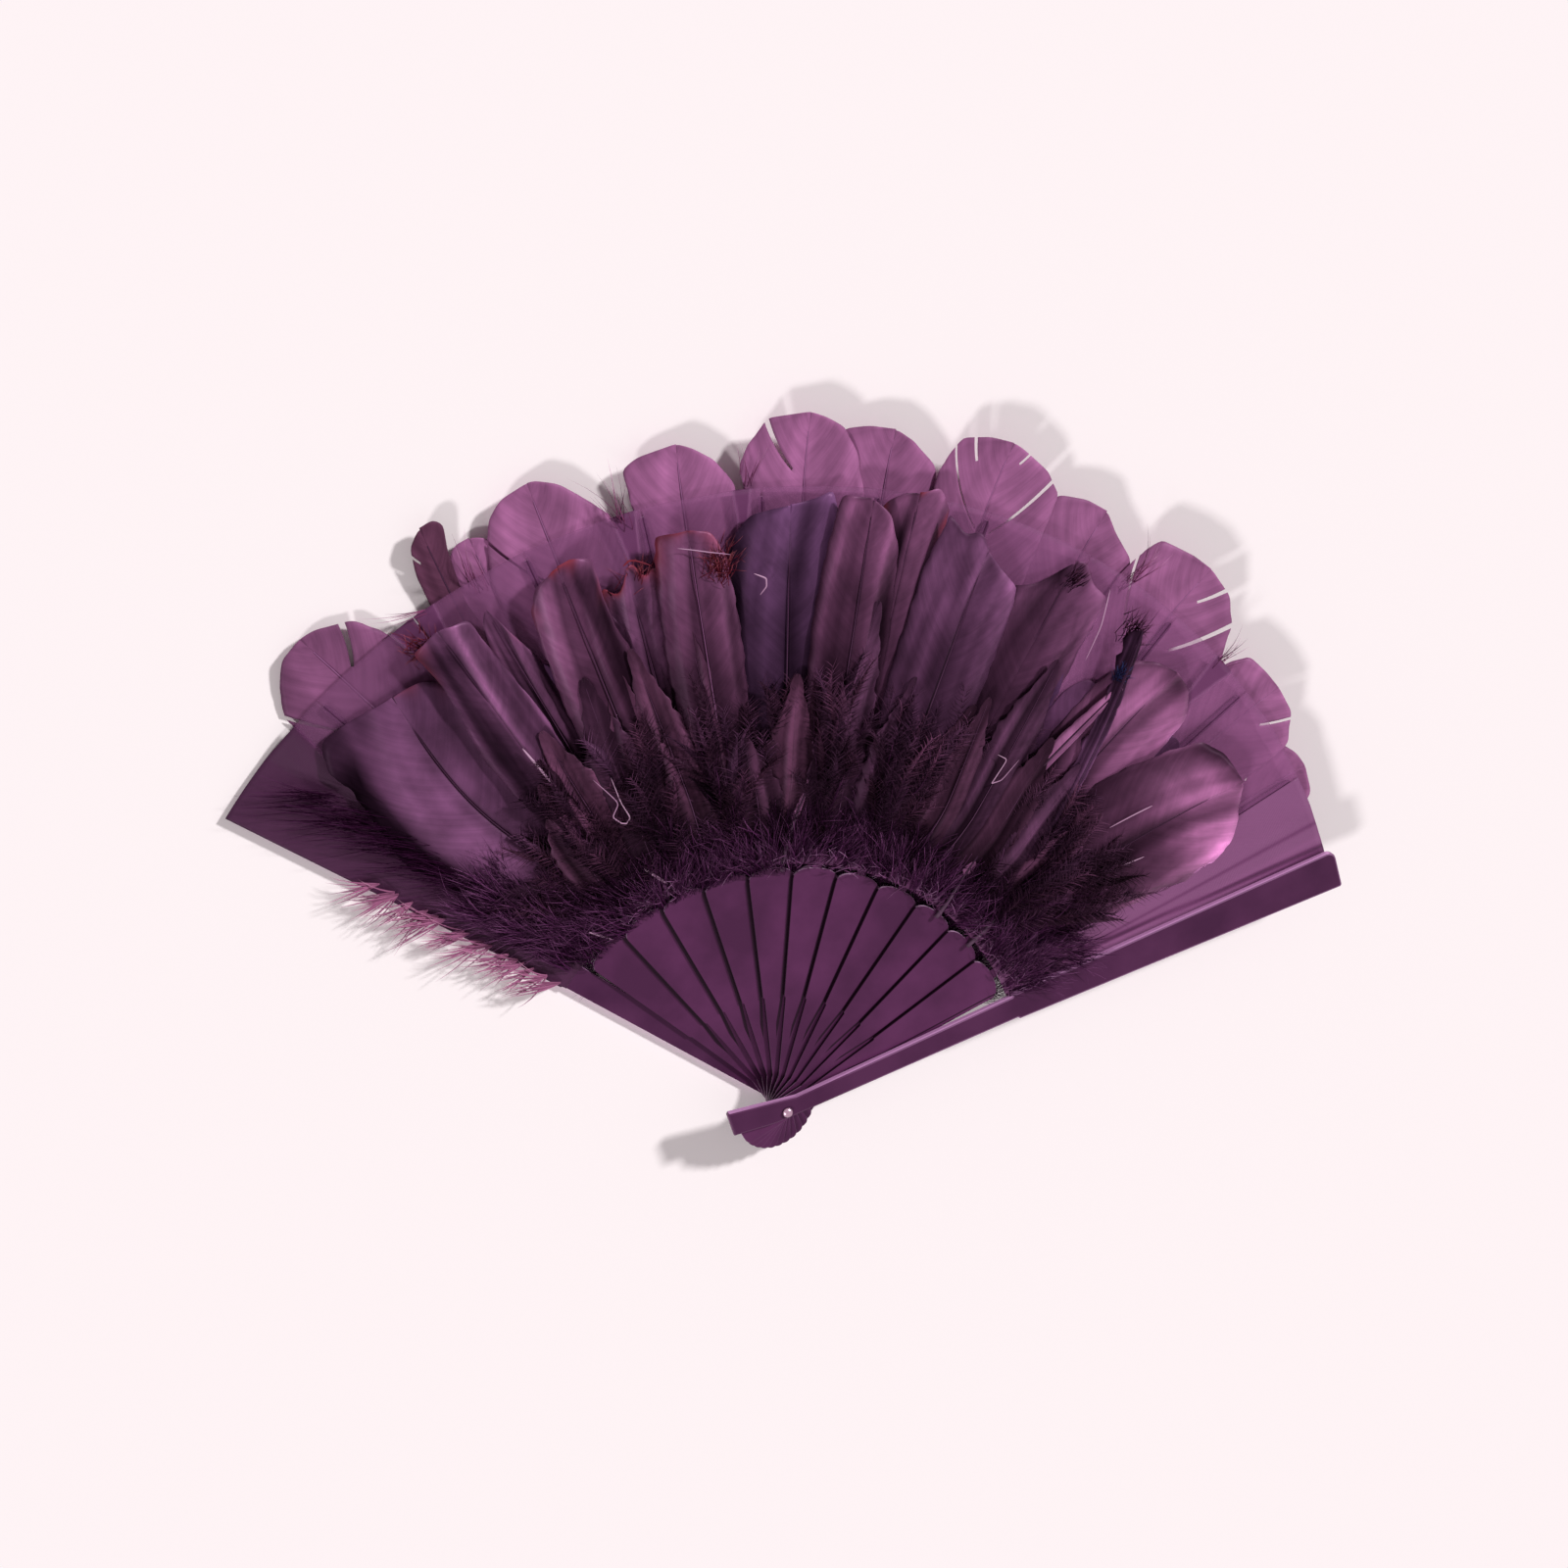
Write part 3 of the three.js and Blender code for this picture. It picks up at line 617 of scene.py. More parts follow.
def rivet_metal():
    """Nickel-plated brass, pressed: a soft polish, with a painted pink reflection of what is around it in
    its colour.
    """
    material, add = new_material("nickel_plate")
    place = add("TexCoord", output="Object")
    wear = add("TexNoise", {"Vector": place, "Scale": 1 / (PLATE_WEAR * MM), "Detail": 3.0})
    # Both colours carry the painted pink reflection of the fan round the rivet; the wear noise mixes them
    tint = add("Mix", {0: wear, 6: "#c9a9bd", 7: "#8d6f83"}, **COLOURS)
    rough = add("MapRange", {"Value": wear, "To Min": 0.2, "To Max": 0.4})
    shader = add("BsdfPrincipled", {"Base Color": tint, "Roughness": rough, "Metallic": 1.0})
    add("OutputMaterial", {"Surface": shader})
    return material


def leaf_cloth():
    """Sheer dyed organza, woven of fine threads: a faint regular weave and a low sheen, with
    clouds in the dye. Where its tone is high, on the last gore and where a feather lies
    behind, a painted sheen makes it paler and greyer."""
    material, add = new_material("woven_organza")
    uv = add("UVMap", uv_map="UVMap")
    threads = {"Vector": uv, "Scale": WAVE_TURN / THREAD_DRAWN, "Distortion": 0.4}
    warp, weft = (add("TexWave", threads, "Fac", wave_type="BANDS", bands_direction=way) for way in "XY")
    weave = add("Math", {0: warp, 1: weft}, operation="MULTIPLY")
    tone, cover = (add("Attribute", output="Fac", attribute_name=key) for key in ("tone", "cover"))
    cloud = add("TexNoise", {"Vector": uv, "Scale": 1 / LEAF_CLOUD, "Detail": 3.0})
    dye = add("Mix", {0: cloud, 6: "#5a2c52", 7: "#6c3a62"}, **COLOURS)
    crossing = add("Math", {0: weave, 1: 0.2}, operation="MULTIPLY")
    dye = add("Mix", {0: crossing, 6: dye, 7: "#8a5482"}, **COLOURS)
    tint = add("VectorMath", {0: dye, "Scale": tone}, operation="SCALE")
    # Painted sheen: where the tone is high, the colour runs to a paler, greyer pink
    painted_sheen = add("MapRange", {"Value": tone, "From Min": 1.1, "From Max": 1.6, "To Max": 0.6})
    tint = add("Mix", {0: painted_sheen, 6: tint, 7: "#8a5a80"}, **COLOURS)
    bump = add("Bump", {"Height": weave, "Strength": 0.25, "Distance": 0.2 * MM})
    shader = add("BsdfPrincipled", {
        "Base Color": tint, "Alpha": cover, "Normal": bump, "Roughness": 0.45, "Specular IOR Level": 0.15,
        "Sheen Weight": 0.1, "Sheen Roughness": 0.4, "Sheen Tint": "#b07aa8"})
    add("OutputMaterial", {"Surface": shader})
    return material


def vane(name, brown, violet, specular, sheen, contrast, mottle):
    """A dyed goose feather's vane: fine barbs that run out from the shaft, in groups that
    catch the light apart. The dye differs from feather to feather, from brown to violet,
    and some tips are left red."""
    material, add = new_material(name)
    tone, red, hue = (add("Attribute", output="Fac", attribute_name=key)
                      for key in ("tone", "red", "violet"))
    uv = add("UVMap", uv_map="UVMap")
    stretch = add("Mapping", {"Vector": uv, "Scale": (1.0, 1 / BARB_STRETCH, 1.0)})
    fine = add("TexNoise", {"Vector": stretch, "Scale": 1 / BARB_DRAWN, "Detail": 2.0})
    group = add("TexNoise", {"Vector": stretch, "Scale": 1 / BARB_LOCK, "Detail": 3.0})
    place = add("TexCoord", output="Object")
    cloud = add("TexNoise", {"Vector": place, "Scale": 1 / (DYE_PATCH * MM), "Detail": 5.0})
    light = tone
    for pattern, depth in ((group, contrast), (fine, 0.07), (cloud, mottle)):
        spread = {"From Min": 0.3, "From Max": 0.7, "To Min": 1 - depth, "To Max": 1 + depth}
        shade = add("MapRange", {"Value": pattern, **spread})
        light = add("Math", {0: light, 1: shade}, operation="MULTIPLY")
    dye = add("Mix", {0: hue, 6: brown, 7: violet}, **COLOURS)
    tint = add("VectorMath", {0: dye, "Scale": light}, operation="SCALE")
    tint = add("Mix", {0: red, 6: tint, 7: "#86303a"}, **COLOURS)
    relief = add("Math", {0: fine, 1: group}, operation="ADD")
    bump = add("Bump", {"Height": relief, "Strength": 0.16, "Distance": 0.3 * MM})
    gloss, nap = (add("Math", {0: tone, 1: part}, operation="MULTIPLY", use_clamp=True)
                  for part in (specular, sheen))
    shader = add("BsdfPrincipled", {
        "Base Color": tint, "Normal": bump, "Roughness": 0.42, "Specular IOR Level": gloss,
        "Specular Tint": "#d2a0c8", "Sheen Weight": nap, "Sheen Roughness": 0.35, "Sheen Tint": "#b878ac"})
    add("OutputMaterial", {"Surface": shader})
    return material


def quill(name, root_colour, tip_colour):
    """The horny shaft of a feather: smooth, with a colour of its own where it is thick."""
    material, add = new_material(name)
    along, tone = (add("Attribute", output="Fac", attribute_name=key) for key in ("along", "tone"))
    share = add("MapRange", {"Value": along, "From Max": 0.8})
    tint = add("Mix", {0: share, 6: root_colour, 7: tip_colour}, **COLOURS)
    tint = add("VectorMath", {0: tint, "Scale": tone}, operation="SCALE")
    shader = add("BsdfPrincipled", {"Base Color": tint, "Roughness": 0.4, "Specular IOR Level": 0.12,
                                    "Specular Tint": "#d2a0c8"})
    add("OutputMaterial", {"Surface": shader})
    return material


def down_fibre(name, root_colour, tip_colour, sheen):
    """Marabou down: soft hair-fine fibres, paler where they thin out."""
    material, add = new_material(name)
    along, own = (add("Attribute", output="Fac", attribute_name=key) for key in ("along", "own"))
    share = add("MapRange", {"Value": along, "From Min": 0.55})
    tint = add("Mix", {0: share, 6: root_colour, 7: tip_colour}, **COLOURS)
    light = add("MapRange", {"Value": own, "To Min": 0.4, "To Max": 2.4})
    tint = add("VectorMath", {0: tint, "Scale": light}, operation="SCALE")
    shader = add("BsdfPrincipled", {"Base Color": tint, "Roughness": 0.6, "Specular IOR Level": 0.0,
                                    "Sheen Weight": sheen, "Sheen Roughness": 0.4, "Sheen Tint": "#9a5c96"})
    add("OutputMaterial", {"Surface": shader})
    return material


def make_camera():
    """The camera of the photograph: it looks at LOOK_AT from the upper left, rolled."""
    tilt, azimuth, roll = (math.radians(v) for v in (CAMERA_TILT, CAMERA_AZIMUTH, CAMERA_ROLL))
    flat = math.sin(tilt)
    away = np.array([flat * math.cos(azimuth), flat * math.sin(azimuth), math.cos(tilt)])
    right = np.cross(-away, [0.0, 1.0, 0.0])
    right /= np.linalg.norm(right)
    up = np.cross(right, -away)
    turned_right = math.cos(roll) * right + math.sin(roll) * up
    turned_up = -math.sin(roll) * right + math.cos(roll) * up
    data = bpy.data.cameras.new("camera")
    data.sensor_width = SENSOR
    data.lens = FOCAL_PIXELS / PICTURE_PIXELS * SENSOR
    data.clip_end = 20
    camera = bpy.data.objects.new("camera", data)
    bpy.context.scene.collection.objects.link(camera)
    place = (np.array(LOOK_AT) + away * CAMERA_DISTANCE) * MM
    rows = np.stack([turned_right, turned_up, away], axis=1)
    camera.matrix_world = Matrix([[*rows[i], place[i]] for i in range(3)] + [[0, 0, 0, 1]])
    bpy.context.scene.camera = camera


def sun(name, azimuth, elevation, strength, spread):
    """A far white lamp that shines from an azimuth and elevation, with soft shadow edges."""
    data = bpy.data.lights.new(name, "SUN")
    data.energy = strength
    data.angle = math.radians(spread)
    lamp = bpy.data.objects.new(name, data)
    bpy.context.scene.collection.objects.link(lamp)
    lamp.rotation_euler = (math.radians(90 - elevation), 0, math.radians(azimuth + 90))


def make_stage():
    """A plain pale floor, the studio light round it, and the lamps."""
    world = bpy.data.worlds.new("studio")
    bpy.context.scene.world = world
    world.use_nodes = True
    world.node_tree.nodes.clear()
    add = partial(add_node, world.node_tree)
    rays = add("LightPath").node.outputs
    seen = add("Math", {0: rays["Is Camera Ray"], 1: rays["Is Glossy Ray"]}, operation="MAXIMUM")
    seen = add("Math", {0: seen, 1: rays["Is Transmission Ray"]}, operation="MAXIMUM")
    soft = add("Background", {"Color": "#fdf4f8", "Strength": 0.24})
    bright = add("Background", {"Color": FLOOR_COLOUR, "Strength": 1.0})
    add("OutputWorld", {0: add("MixShader", {0: seen, 1: soft, 2: bright})})
    bpy.context.scene.view_settings.view_transform = "Standard"
    board, add = new_material("painted_board")
    add("OutputMaterial", {"Surface": add("BsdfDiffuse", {"Color": FLOOR_COLOUR})})
    corners = np.array([[-1, -1, 0], [1, -1, 0], [1, 1, 0], [-1, 1, 0]]) * FLOOR_SIZE / MM / 2
    floor = mesh_object("floor", corners, [[0, 1, 2, 3]], {}, [board])
    sun("key_lamp", 50, 36, 2.65, 6)
    sun("fill_lamp", 226, 40, 1.3, 9)


def make_sticks():
    """Finishes for the sticks and the rivet, whose shapes are the frame's own."""
    # Blades: sides painted near black as shade, ends painted pale as a glint. Guards: sides painted pale as
    # a highlight
    blade = plastic("moulded_abs_sticks", "#5a2c52", "#45203f", "#140611", "#c49abe", True)
    guard = plastic("moulded_abs_guards", "#502749", "#3e1b39", "#dca0d6", "#6a3a62", False)
    finishes = {"rivet": rivet_metal(), "back_guard": guard, "front_guard": guard}
    finishes.update({body_of_stick(k): blade for k in range(1, RIB_COUNT + 1)})
    for name, finish in finishes.items():
        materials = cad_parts[name].data.materials
        materials.clear()
        materials.append(finish)


def feather_behind(radius, angle):
    """1 where one of the back feathers lies behind a place on the leaf, 0 where none does."""
    behind = 0.0
    for look in BACK_LOOKS:
        share = (radius - BACK_ROOT) / (look["reach"] - BACK_ROOT)
        axis = look["root"] + (look["tip"] - look["root"]) * share
        half = look["half"] * np.interp(share, ROW_SHARES, BROAD_SHARES)
        beside = np.abs(radius * np.radians(angle - axis))
        behind = np.maximum(behind, smooth((half - beside) / 1.5 + 0.3))
    return behind


def make_leaf():
    """The twelve gores of the pleated leaf. Each is a strip of an even ring between two
    sticks with a ridge midway."""
    finish = leaf_cloth()
    radius = np.linspace(LEAF_INNER, LEAF_OUTER, LEAF_ROWS)[:, None]
    # Each quad starts at its outer left corner, from which it is split in two
    quads = np.roll(grid_quads(LEAF_ROWS, LEAF_COLUMNS), -1, axis=1)
    glued = GUARD_COVER / PITCH
    for k in range(RIB_COUNT + 1):
        first, last = k == 0, k == RIB_COUNT
        left, right = stick_angle(k), stick_angle(k + 1)
        start = left + (LEAF_OVERLAP if first else -GORE_OVERLAP)
        end = right - (LEAF_OVERLAP / 2 if last else -GORE_OVERLAP)
        angle = np.linspace(start, end, LEAF_COLUMNS)[None, :]
        share = (left - angle) / PITCH
        low = GUARD_THICK + LEAF_GAP if first else rib_z(k) + SLIP_THICK + LEAF_GAP
        high = FRONT_GUARD_Z - LEAF_GAP - LEAF_THICK if last else rib_z(k + 1) + SLIP_THICK + LEAF_GAP
        rise = share
        if first:
            rise = np.clip((share - glued) / (1 - glued), 0, 1)
        if last:
            rise = np.clip(share / (1 - glued), 0, 1)
        ridge = LEAF_RIDGE * np.clip(1 - np.abs(2 * rise - 1), 0, 1) ** 0.8 * radius / LEAF_OUTER
        ridge = ridge * (LAST_RIDGE_SHARE if last else 1)
        sag = LEAF_SAG * wave(radius / 14 + angle, k) * np.sin(np.clip(rise, 0, 1) * np.pi)
        sheet = polar(radius, angle, 0.0, low + (high - low) * rise + ridge + sag)
        points, faces = closed_sheet(sheet.reshape(-1, 3), quads, LEAF_THICK)
        flat = np.stack(np.broadcast_arrays(np.radians(angle) * radius, radius), axis=-1)

        line = np.ones_like(share)
        if last:
            # Painted shade in the creases of the pleats, and a painted highlight where the depth is below
            # zero
            for place, depth in PAINTED_PLEAT_LINES:
                line = line - depth * np.exp(-((share - place) / PLEAT_WIDTH_SHARE) ** 2)
            # A painted shadow on the leaf beside the front guard
            away, width, depth = GUARD_SHADOW_LINE
            line = line - depth * np.exp(-((radius * np.radians(angle - right) - away) / width) ** 2)
        behind = feather_behind(radius, angle)
        sheer = np.interp(k / RIB_COUNT, *LEAF_COVERS)
        # Painted glow: the leaf's tone is raised where a back feather lies behind it
        painted_glow = 1 + LEAF_PAINTED_GLOW * behind * (1 - sheer)
        # The gore's tone is painted shade on the left gores and painted light on the right ones
        tone = np.interp(k / RIB_COUNT, *LEAF_PAINTED_LIGHT) * line * painted_glow
        cover = LEAF_DENSE + (sheer - LEAF_DENSE) * behind
        attributes = {"tone": np.tile(tone.ravel(), 2), "cover": np.tile(cover.ravel(), 2)}
        thing = mesh_object(f"leaf_cloth_{k + 1:02d}", points, faces, attributes, [finish],
                            np.tile(flat.reshape(-1, 2), (2, 1)))

        middle = (LEAF_INNER + LEAF_OUTER) / 2
        a_point, b_point = (tuple(polar(middle, d, 0.0, BLEND_Z) * MM) for d in (left, right))
        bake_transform(thing)
        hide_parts(f"leaf_gore_{k + 1:02d}")


def back_level(low):
    """Height of a back feather: behind the leaf on its layer, with its tip lifted."""
    under = BACK_GAP + (BACK_LAYER if low else 0.0)

    def level(radius, angle):
        past = np.clip((radius - BACK_TIP_START) / BACK_TIP_LENGTH, 0, 1.2)
        return ramp_z(angle) - under + BACK_TIP_RISE * past ** 2

    return level


def front_level(low=False):
    """Height of a front feather's edge: on the leaf at the root, and then on its layer."""
    rise, over = LAYER_GAP, LOWER_RISE
    if not low:
        rise, over = FRONT_CAMBER + FEATHER_THICK + LAYER_GAP + LAYER_GAP, UPPER_RISE

    def level(radius, angle):
        seat = leaf_top(radius, angle) + SEAT_MARGIN + FRONT_SEAT
        return seat + rise * smooth((radius - FRONT_ROOT) / over)

    return level


def raised_level(ground, lift, start=0.0):
    """A level that leaves another one at the radius start, and lies above it by a lift."""
    def level(radius, angle):
        return ground(radius, angle) + lift * smooth((radius - start) / LIFT_RUN)

    return level


# Feathers on the back: direction at root and tip, reach, half width, the outline of the tip
# on the left and right as pairs of radius and width, and slits as side, place along the
# outline, share of the barb where they start, and opening in millimetres. stick is the one
# that carries it, and a low one lies in the lower of the two layers
BACK_LOOKS = [
    dict(root=139.6, tip=140.1, reach=225, half=21, stick=1, tone=0.7,
         left=[(210, 20.8), (218, 15), (224, 8.2)], right=[(209, 18.8), (218, 14.8), (224, 4.7)],
         slits=[(-1, 0.90, 0.3, 1.6), (1, 0.80, 0.5, 1.2)]),
    dict(root=131.5, tip=127.9, reach=230, half=6.5, stick=2, tone=0.3, violet=0.1, quill=0.2,
         left=[(200, 7.1), (217, 6.9), (226, 5)], right=[(202, 3), (219, 5), (227, 7), (230, 4.8)],
         slits=[(1, 0.93, 0.6, 0.8)]),
    dict(root=126.5, tip=125.0, reach=219, half=14, stick=2, low=True, left=[(204, 12), (215, 9), (219, 5)],
         right=[(200, 12), (210, 9), (217, 4)]),
    dict(root=119.4, tip=119.2, reach=227, half=20.5, stick=3,
         left=[(203, 20.8), (214, 17.6), (221, 14.6), (225.5, 9)],
         right=[(207, 20.2), (214, 15.8), (223, 8.6), (227, 2)], slits=[(1, 0.83, 0.1, 0.8)]),
    dict(root=107.8, tip=107.3, reach=225, half=16.2, stick=4,
         left=[(203, 15), (220, 17.3), (223, 12.5)], right=[(209, 17.1), (218, 11), (222.5, 5)]),
    dict(root=97.0, tip=96.6, reach=231, half=18.2, stick=5,
         left=[(206, 19), (215, 20.9), (220, 19), (229, 13.4)],
         right=[(204, 20.2), (218, 16.6), (226, 11.5), (229, 6)], slits=[(1, 0.90, 0.2, 1.3)]),
    dict(root=89.0, tip=89.4, reach=227, half=19, stick=6, low=True,
         left=[(212, 20), (225, 16.6), (227, 8.7)], right=[(206, 19), (217, 15.5), (224, 6.6)]),
    dict(root=80.0, tip=79.7, reach=231, half=20.5, stick=7,
         left=[(206, 18.5), (215, 19.8), (227.5, 16.8), (230.5, 8)],
         right=[(208, 21.8), (219, 22), (225.5, 15.4), (230, 4)],
         slits=[(1, 0.86, 0.05, 0.7), (1, 0.91, 0.6, 0.6), (-1, 0.95, 0.6, 0.5), (-1, 0.86, 0.1, 0.9)]),
    dict(root=69.6, tip=69.4, reach=223, half=19, stick=8, low=True,
         left=[(212, 20), (220, 17.6), (223, 8)], right=[(206, 19), (213, 16.9), (218, 7.2)]),
    dict(root=58.9, tip=58.6, reach=227, half=22, stick=9,
         left=[(205, 23.5), (214, 23), (223.5, 20.6), (226.5, 8)],
         right=[(196, 26), (205, 26.6), (218, 19.9), (224.5, 11.7)],
         slits=[(1, 0.79, 0.4, 1.3), (-1, 0.93, 0.4, 1.2), (-1, 0.84, 0.3, 1.6)]),
    dict(root=46.2, tip=45.7, reach=218, half=18.2, stick=10,
         left=[(198, 19.5), (208, 19), (216, 15.6), (217.5, 7)],
         right=[(201, 20.5), (210, 19.5), (217, 10.5)], slits=[(-1, 0.9, 0.5, 0.7)]),
    dict(root=38.6, tip=37.4, reach=213, half=17, stick=11, low=True, left=[(198, 16), (208, 13), (212, 6)],
         right=[(196, 16), (205, 14), (211, 10)], slits=[(1, 0.85, 0.4, 0.7)]),
]

# How much darker the front feathers are towards their roots, and lighter towards their tips
FADE_AT = (0.0, 0.14, 0.3, 0.5, 0.7, 0.85, 1.0)
FADE = (0.08, 0.16, 0.3, 0.5, 0.8, 1.35, 1.7)

# Feathers on the front, the same way, with what PLAIN_LOOK names: a band of painted shade is its
# left and right limit, its ends along the feather, and how much darker it is than the rest; one below zero
# is a painted highlight
FRONT_LOOKS = [
    dict(root=132.8, tip=138.0, reach=194, half=28.8, lean=0.35, bent=11, low=True, bow=2.4, curl=0.5,
         stick=1, downy=0.22,
         left=[(146, 40), (157, 37.5), (164, 35.5), (178, 31.3), (190, 30.5), (197.5, 25), (197, 15.9)],
         right=[(158, 13), (172, 14.5), (184, 14.2), (191.6, 9)],
         tone=1.0, violet=0.4, red=0.25, red_side=-1, quill=0.35, streak=0.5, rim=0.15,
         fade_at=(0, 0.2, 0.3, 0.6, 0.85, 1.0), fade=(0.1, 0.4, 1.0, 1.15, 1.0, 0.75),
         bands=[(0.68, 1.6, 0.05, 0.92, 0.93), (-1.0, -0.03, 0.1, 1.0, 0.15),
                (0.62, 1.3, 0.86, 1.2, 0.6), (0.3, 0.42, 0.55, 0.8, 0.3), (0.1, 0.2, 0.3, 0.75, -0.25)]),
    dict(root=131.4, tip=131.3, reach=203, half=12, shares=SLIM_SHARES, bow=2.6, curl=2.5, stick=2,
         left=[(178, 9), (190, 8.5), (201, 10)], right=[(185, 10), (200, 9.5)],
         tone=0.85, violet=0.35, slope=0.0, red=0.5, red_side=1, quill=0.4, streak=1.1, rim=0.15,
         bands=[(0.3, 0.8, 0.3, 1.0, 0.6), (-0.1, 0.8, 0.86, 0.97, 0.6)]),
    dict(root=126.6, tip=126.8, reach=200, half=8, shares=SLIM_SHARES, low=True, bow=2.0, curl=2, stick=2,
         left=[(185, 6), (195, 3.5)], right=[(178, 6), (188, 3)], tone=0.5, violet=0.3, red=0.4),
    dict(root=120.4, tip=119.8, reach=202, half=13.5, bow=2.6, curl=1, stick=3,
         left=[(180, 12.8), (192, 11.9), (198.5, 8)],
         right=[(178, 10), (189, 10.2), (199.5, 11), (202.5, 5)],
         tone=0.9, violet=0.2, red=0.95, red_rim=3, slope=0.25, fade_at=(0, 0.3, 0.6, 0.8, 1.0),
         fade=(0.05, 0.22, 0.5, 1.0, 1.1), bands=[(-0.75, -0.25, 0.4, 0.97, 0.8)]),
    dict(root=114.4, tip=114.0, reach=192, half=11, shares=SLIM_SHARES, low=True, bow=2.0, ragged=0.1,
         stick=4,
         left=[(180, 9.5), (189, 9), (185, 4)], right=[(182, 10), (190.5, 9), (188, 5), (194, 2)],
         tone=0.6, violet=0.3, red=0.9),
    dict(root=108.4, tip=108.0, reach=200, half=12.5, bow=2.6, curl=1, ragged=0.04, stick=4,
         left=[(180, 12), (200, 10)], right=[(178, 12), (190, 11), (198, 7)],
         tone=0.65, violet=0.2, red=0.7, red_rim=4, slope=-0.15, quill=1.3),
    dict(root=98.6, tip=98.4, reach=203, half=18.7, low=True, bow=2.4, curl=0.5, stick=5,
         left=[(180, 19), (193, 17.8), (200.5, 12)], right=[(178, 16.5), (198, 16), (207, 14), (204, 7)],
         tone=0.5, violet=0.7, slope=0.15,
         bands=[(-1.3, -0.8, 0.3, 1.0, -0.3), (0.75, 1.3, 0.3, 0.9, 0.6)]),
    dict(root=91.6, tip=91.2, reach=206, half=13, bow=2.6, curl=0.5, stick=6,
         left=[(190, 12), (206.5, 10)], right=[(190, 11.5), (202, 6)],
         tone=0.6, violet=0.2, slope=-0.1, bands=[(-1.3, -0.5, 0.2, 0.75, 0.55)]),
    dict(root=87.2, tip=86.8, reach=209, half=12, low=True, bow=2.2, curl=1, stick=6,
         left=[(190, 11), (204, 10.5), (208.5, 5)], right=[(190, 12), (206, 11.5), (212, 6)],
         tone=0.65, violet=0.2, red=1.0, red_rim=4, bands=[(0.1, 1.6, 0.78, 0.93, 0.85)]),
    dict(root=79.8, tip=79.5, reach=197, half=16.5, bow=2.6, curl=0.5, stick=7,
         left=[(186, 17), (204.5, 15.5), (199.5, 9), (202, 4)], right=[(178, 16.5), (188, 15), (193, 6)],
         tone=0.7, violet=0.4, bands=[(0.15, 0.4, 0.5, 0.97, 0.6), (0.75, 1.0, 0.4, 0.95, -0.4)]),
    dict(root=70.6, tip=70.5, reach=204, half=18, low=True, bow=2.4, curl=1, stick=8,
         left=[(178, 17), (188, 15.5), (193, 8)], right=[(186, 17.5), (198, 16.8), (200, 9), (205.5, 3)],
         tone=0.55, violet=0.25, bands=[(-1.0, -0.82, 0.5, 0.92, -1.2), (0.1, 0.9, 0.93, 1.1, 0.8)]),
    dict(root=50.5, tip=61.8, reach=197, half=3.4, shares=SLIM_SHARES, bow=2.8, curl=1.5, ragged=0.2,
         stick=9, left=[(178, 3), (193, 3.6)], right=[(178, 3), (190, 3.4), (196, 1.6)],
         tone=0.25, violet=0.5,
         fade_at=(0, 0.3, 0.6, 0.72, 1.0), fade=(0.4, 1.4, 2.4, 1.0, 0.8)),
    dict(root=56.2, tip=55.4, reach=194, half=17, low=True, bow=2.4, curl=1, stick=9,
         left=[(174, 17), (186, 14.4), (192, 7)], right=[(174, 17.5), (186, 15.5), (193, 7.8)],
         tone=1.8, violet=0.2, fade_at=(0, 0.2, 0.5, 0.66, 0.8, 1.0), fade=(0.05, 0.12, 0.2, 0.6, 1.1, 1.0),
         bands=[(-1.1, 0.2, 0.92, 1.1, 0.65), (0.5, 0.95, 0.3, 0.6, 0.6)]),
    dict(root=47.4, tip=41.6, reach=188, half=24, bow=2.6, curl=0.5, stick=10,
         left=[(172, 22), (183, 20), (188, 12)], right=[(153, 25), (167, 23), (176, 17.5), (184, 7)],
         tone=1.8, violet=0.2, slope=-0.2, streak=1.1, quill=0.3, downy=0.36,
         fade_at=(0, 0.15, 0.4, 0.62, 0.8, 1.0), fade=(0.05, 0.12, 0.24, 0.42, 1.05, 1.0), fold=1.0,
         bands=[(-0.1, 1.2, 0.94, 1.1, 0.65), (-1.3, -0.78, 0.15, 0.97, -0.9),
                (-0.7, 0.7, 0.1, 0.7, 0.35)]),
]


def make_back_feathers():
    """The row of broad feathers that stands out past the edge of the leaf."""
    finishes = [vane("dyed_goose_back", "#a05f82", "#86578d", 0.2, 0.1, 0.2, 0.2),
                quill("horn_back", "#d9b8cf", "#9a6490")]
    plain = dict(low=False, bow=0.25, ripple=0.15, curl=0.0, fold=0.15, violet=0.4, streak=0.25, rim=0.15,
                 shaft=0.7)
    for i, look in enumerate(BACK_LOOKS):
        look = {**plain, **look}
        level = back_level(look["low"])
        thing, _ = feather(f"rear_feather_{i + 1:02d}", look, BACK_ROOT, level, finishes, 100 + i)
        rides(thing, look["stick"])
        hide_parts(f"back_feather_{i + 1:02d}")


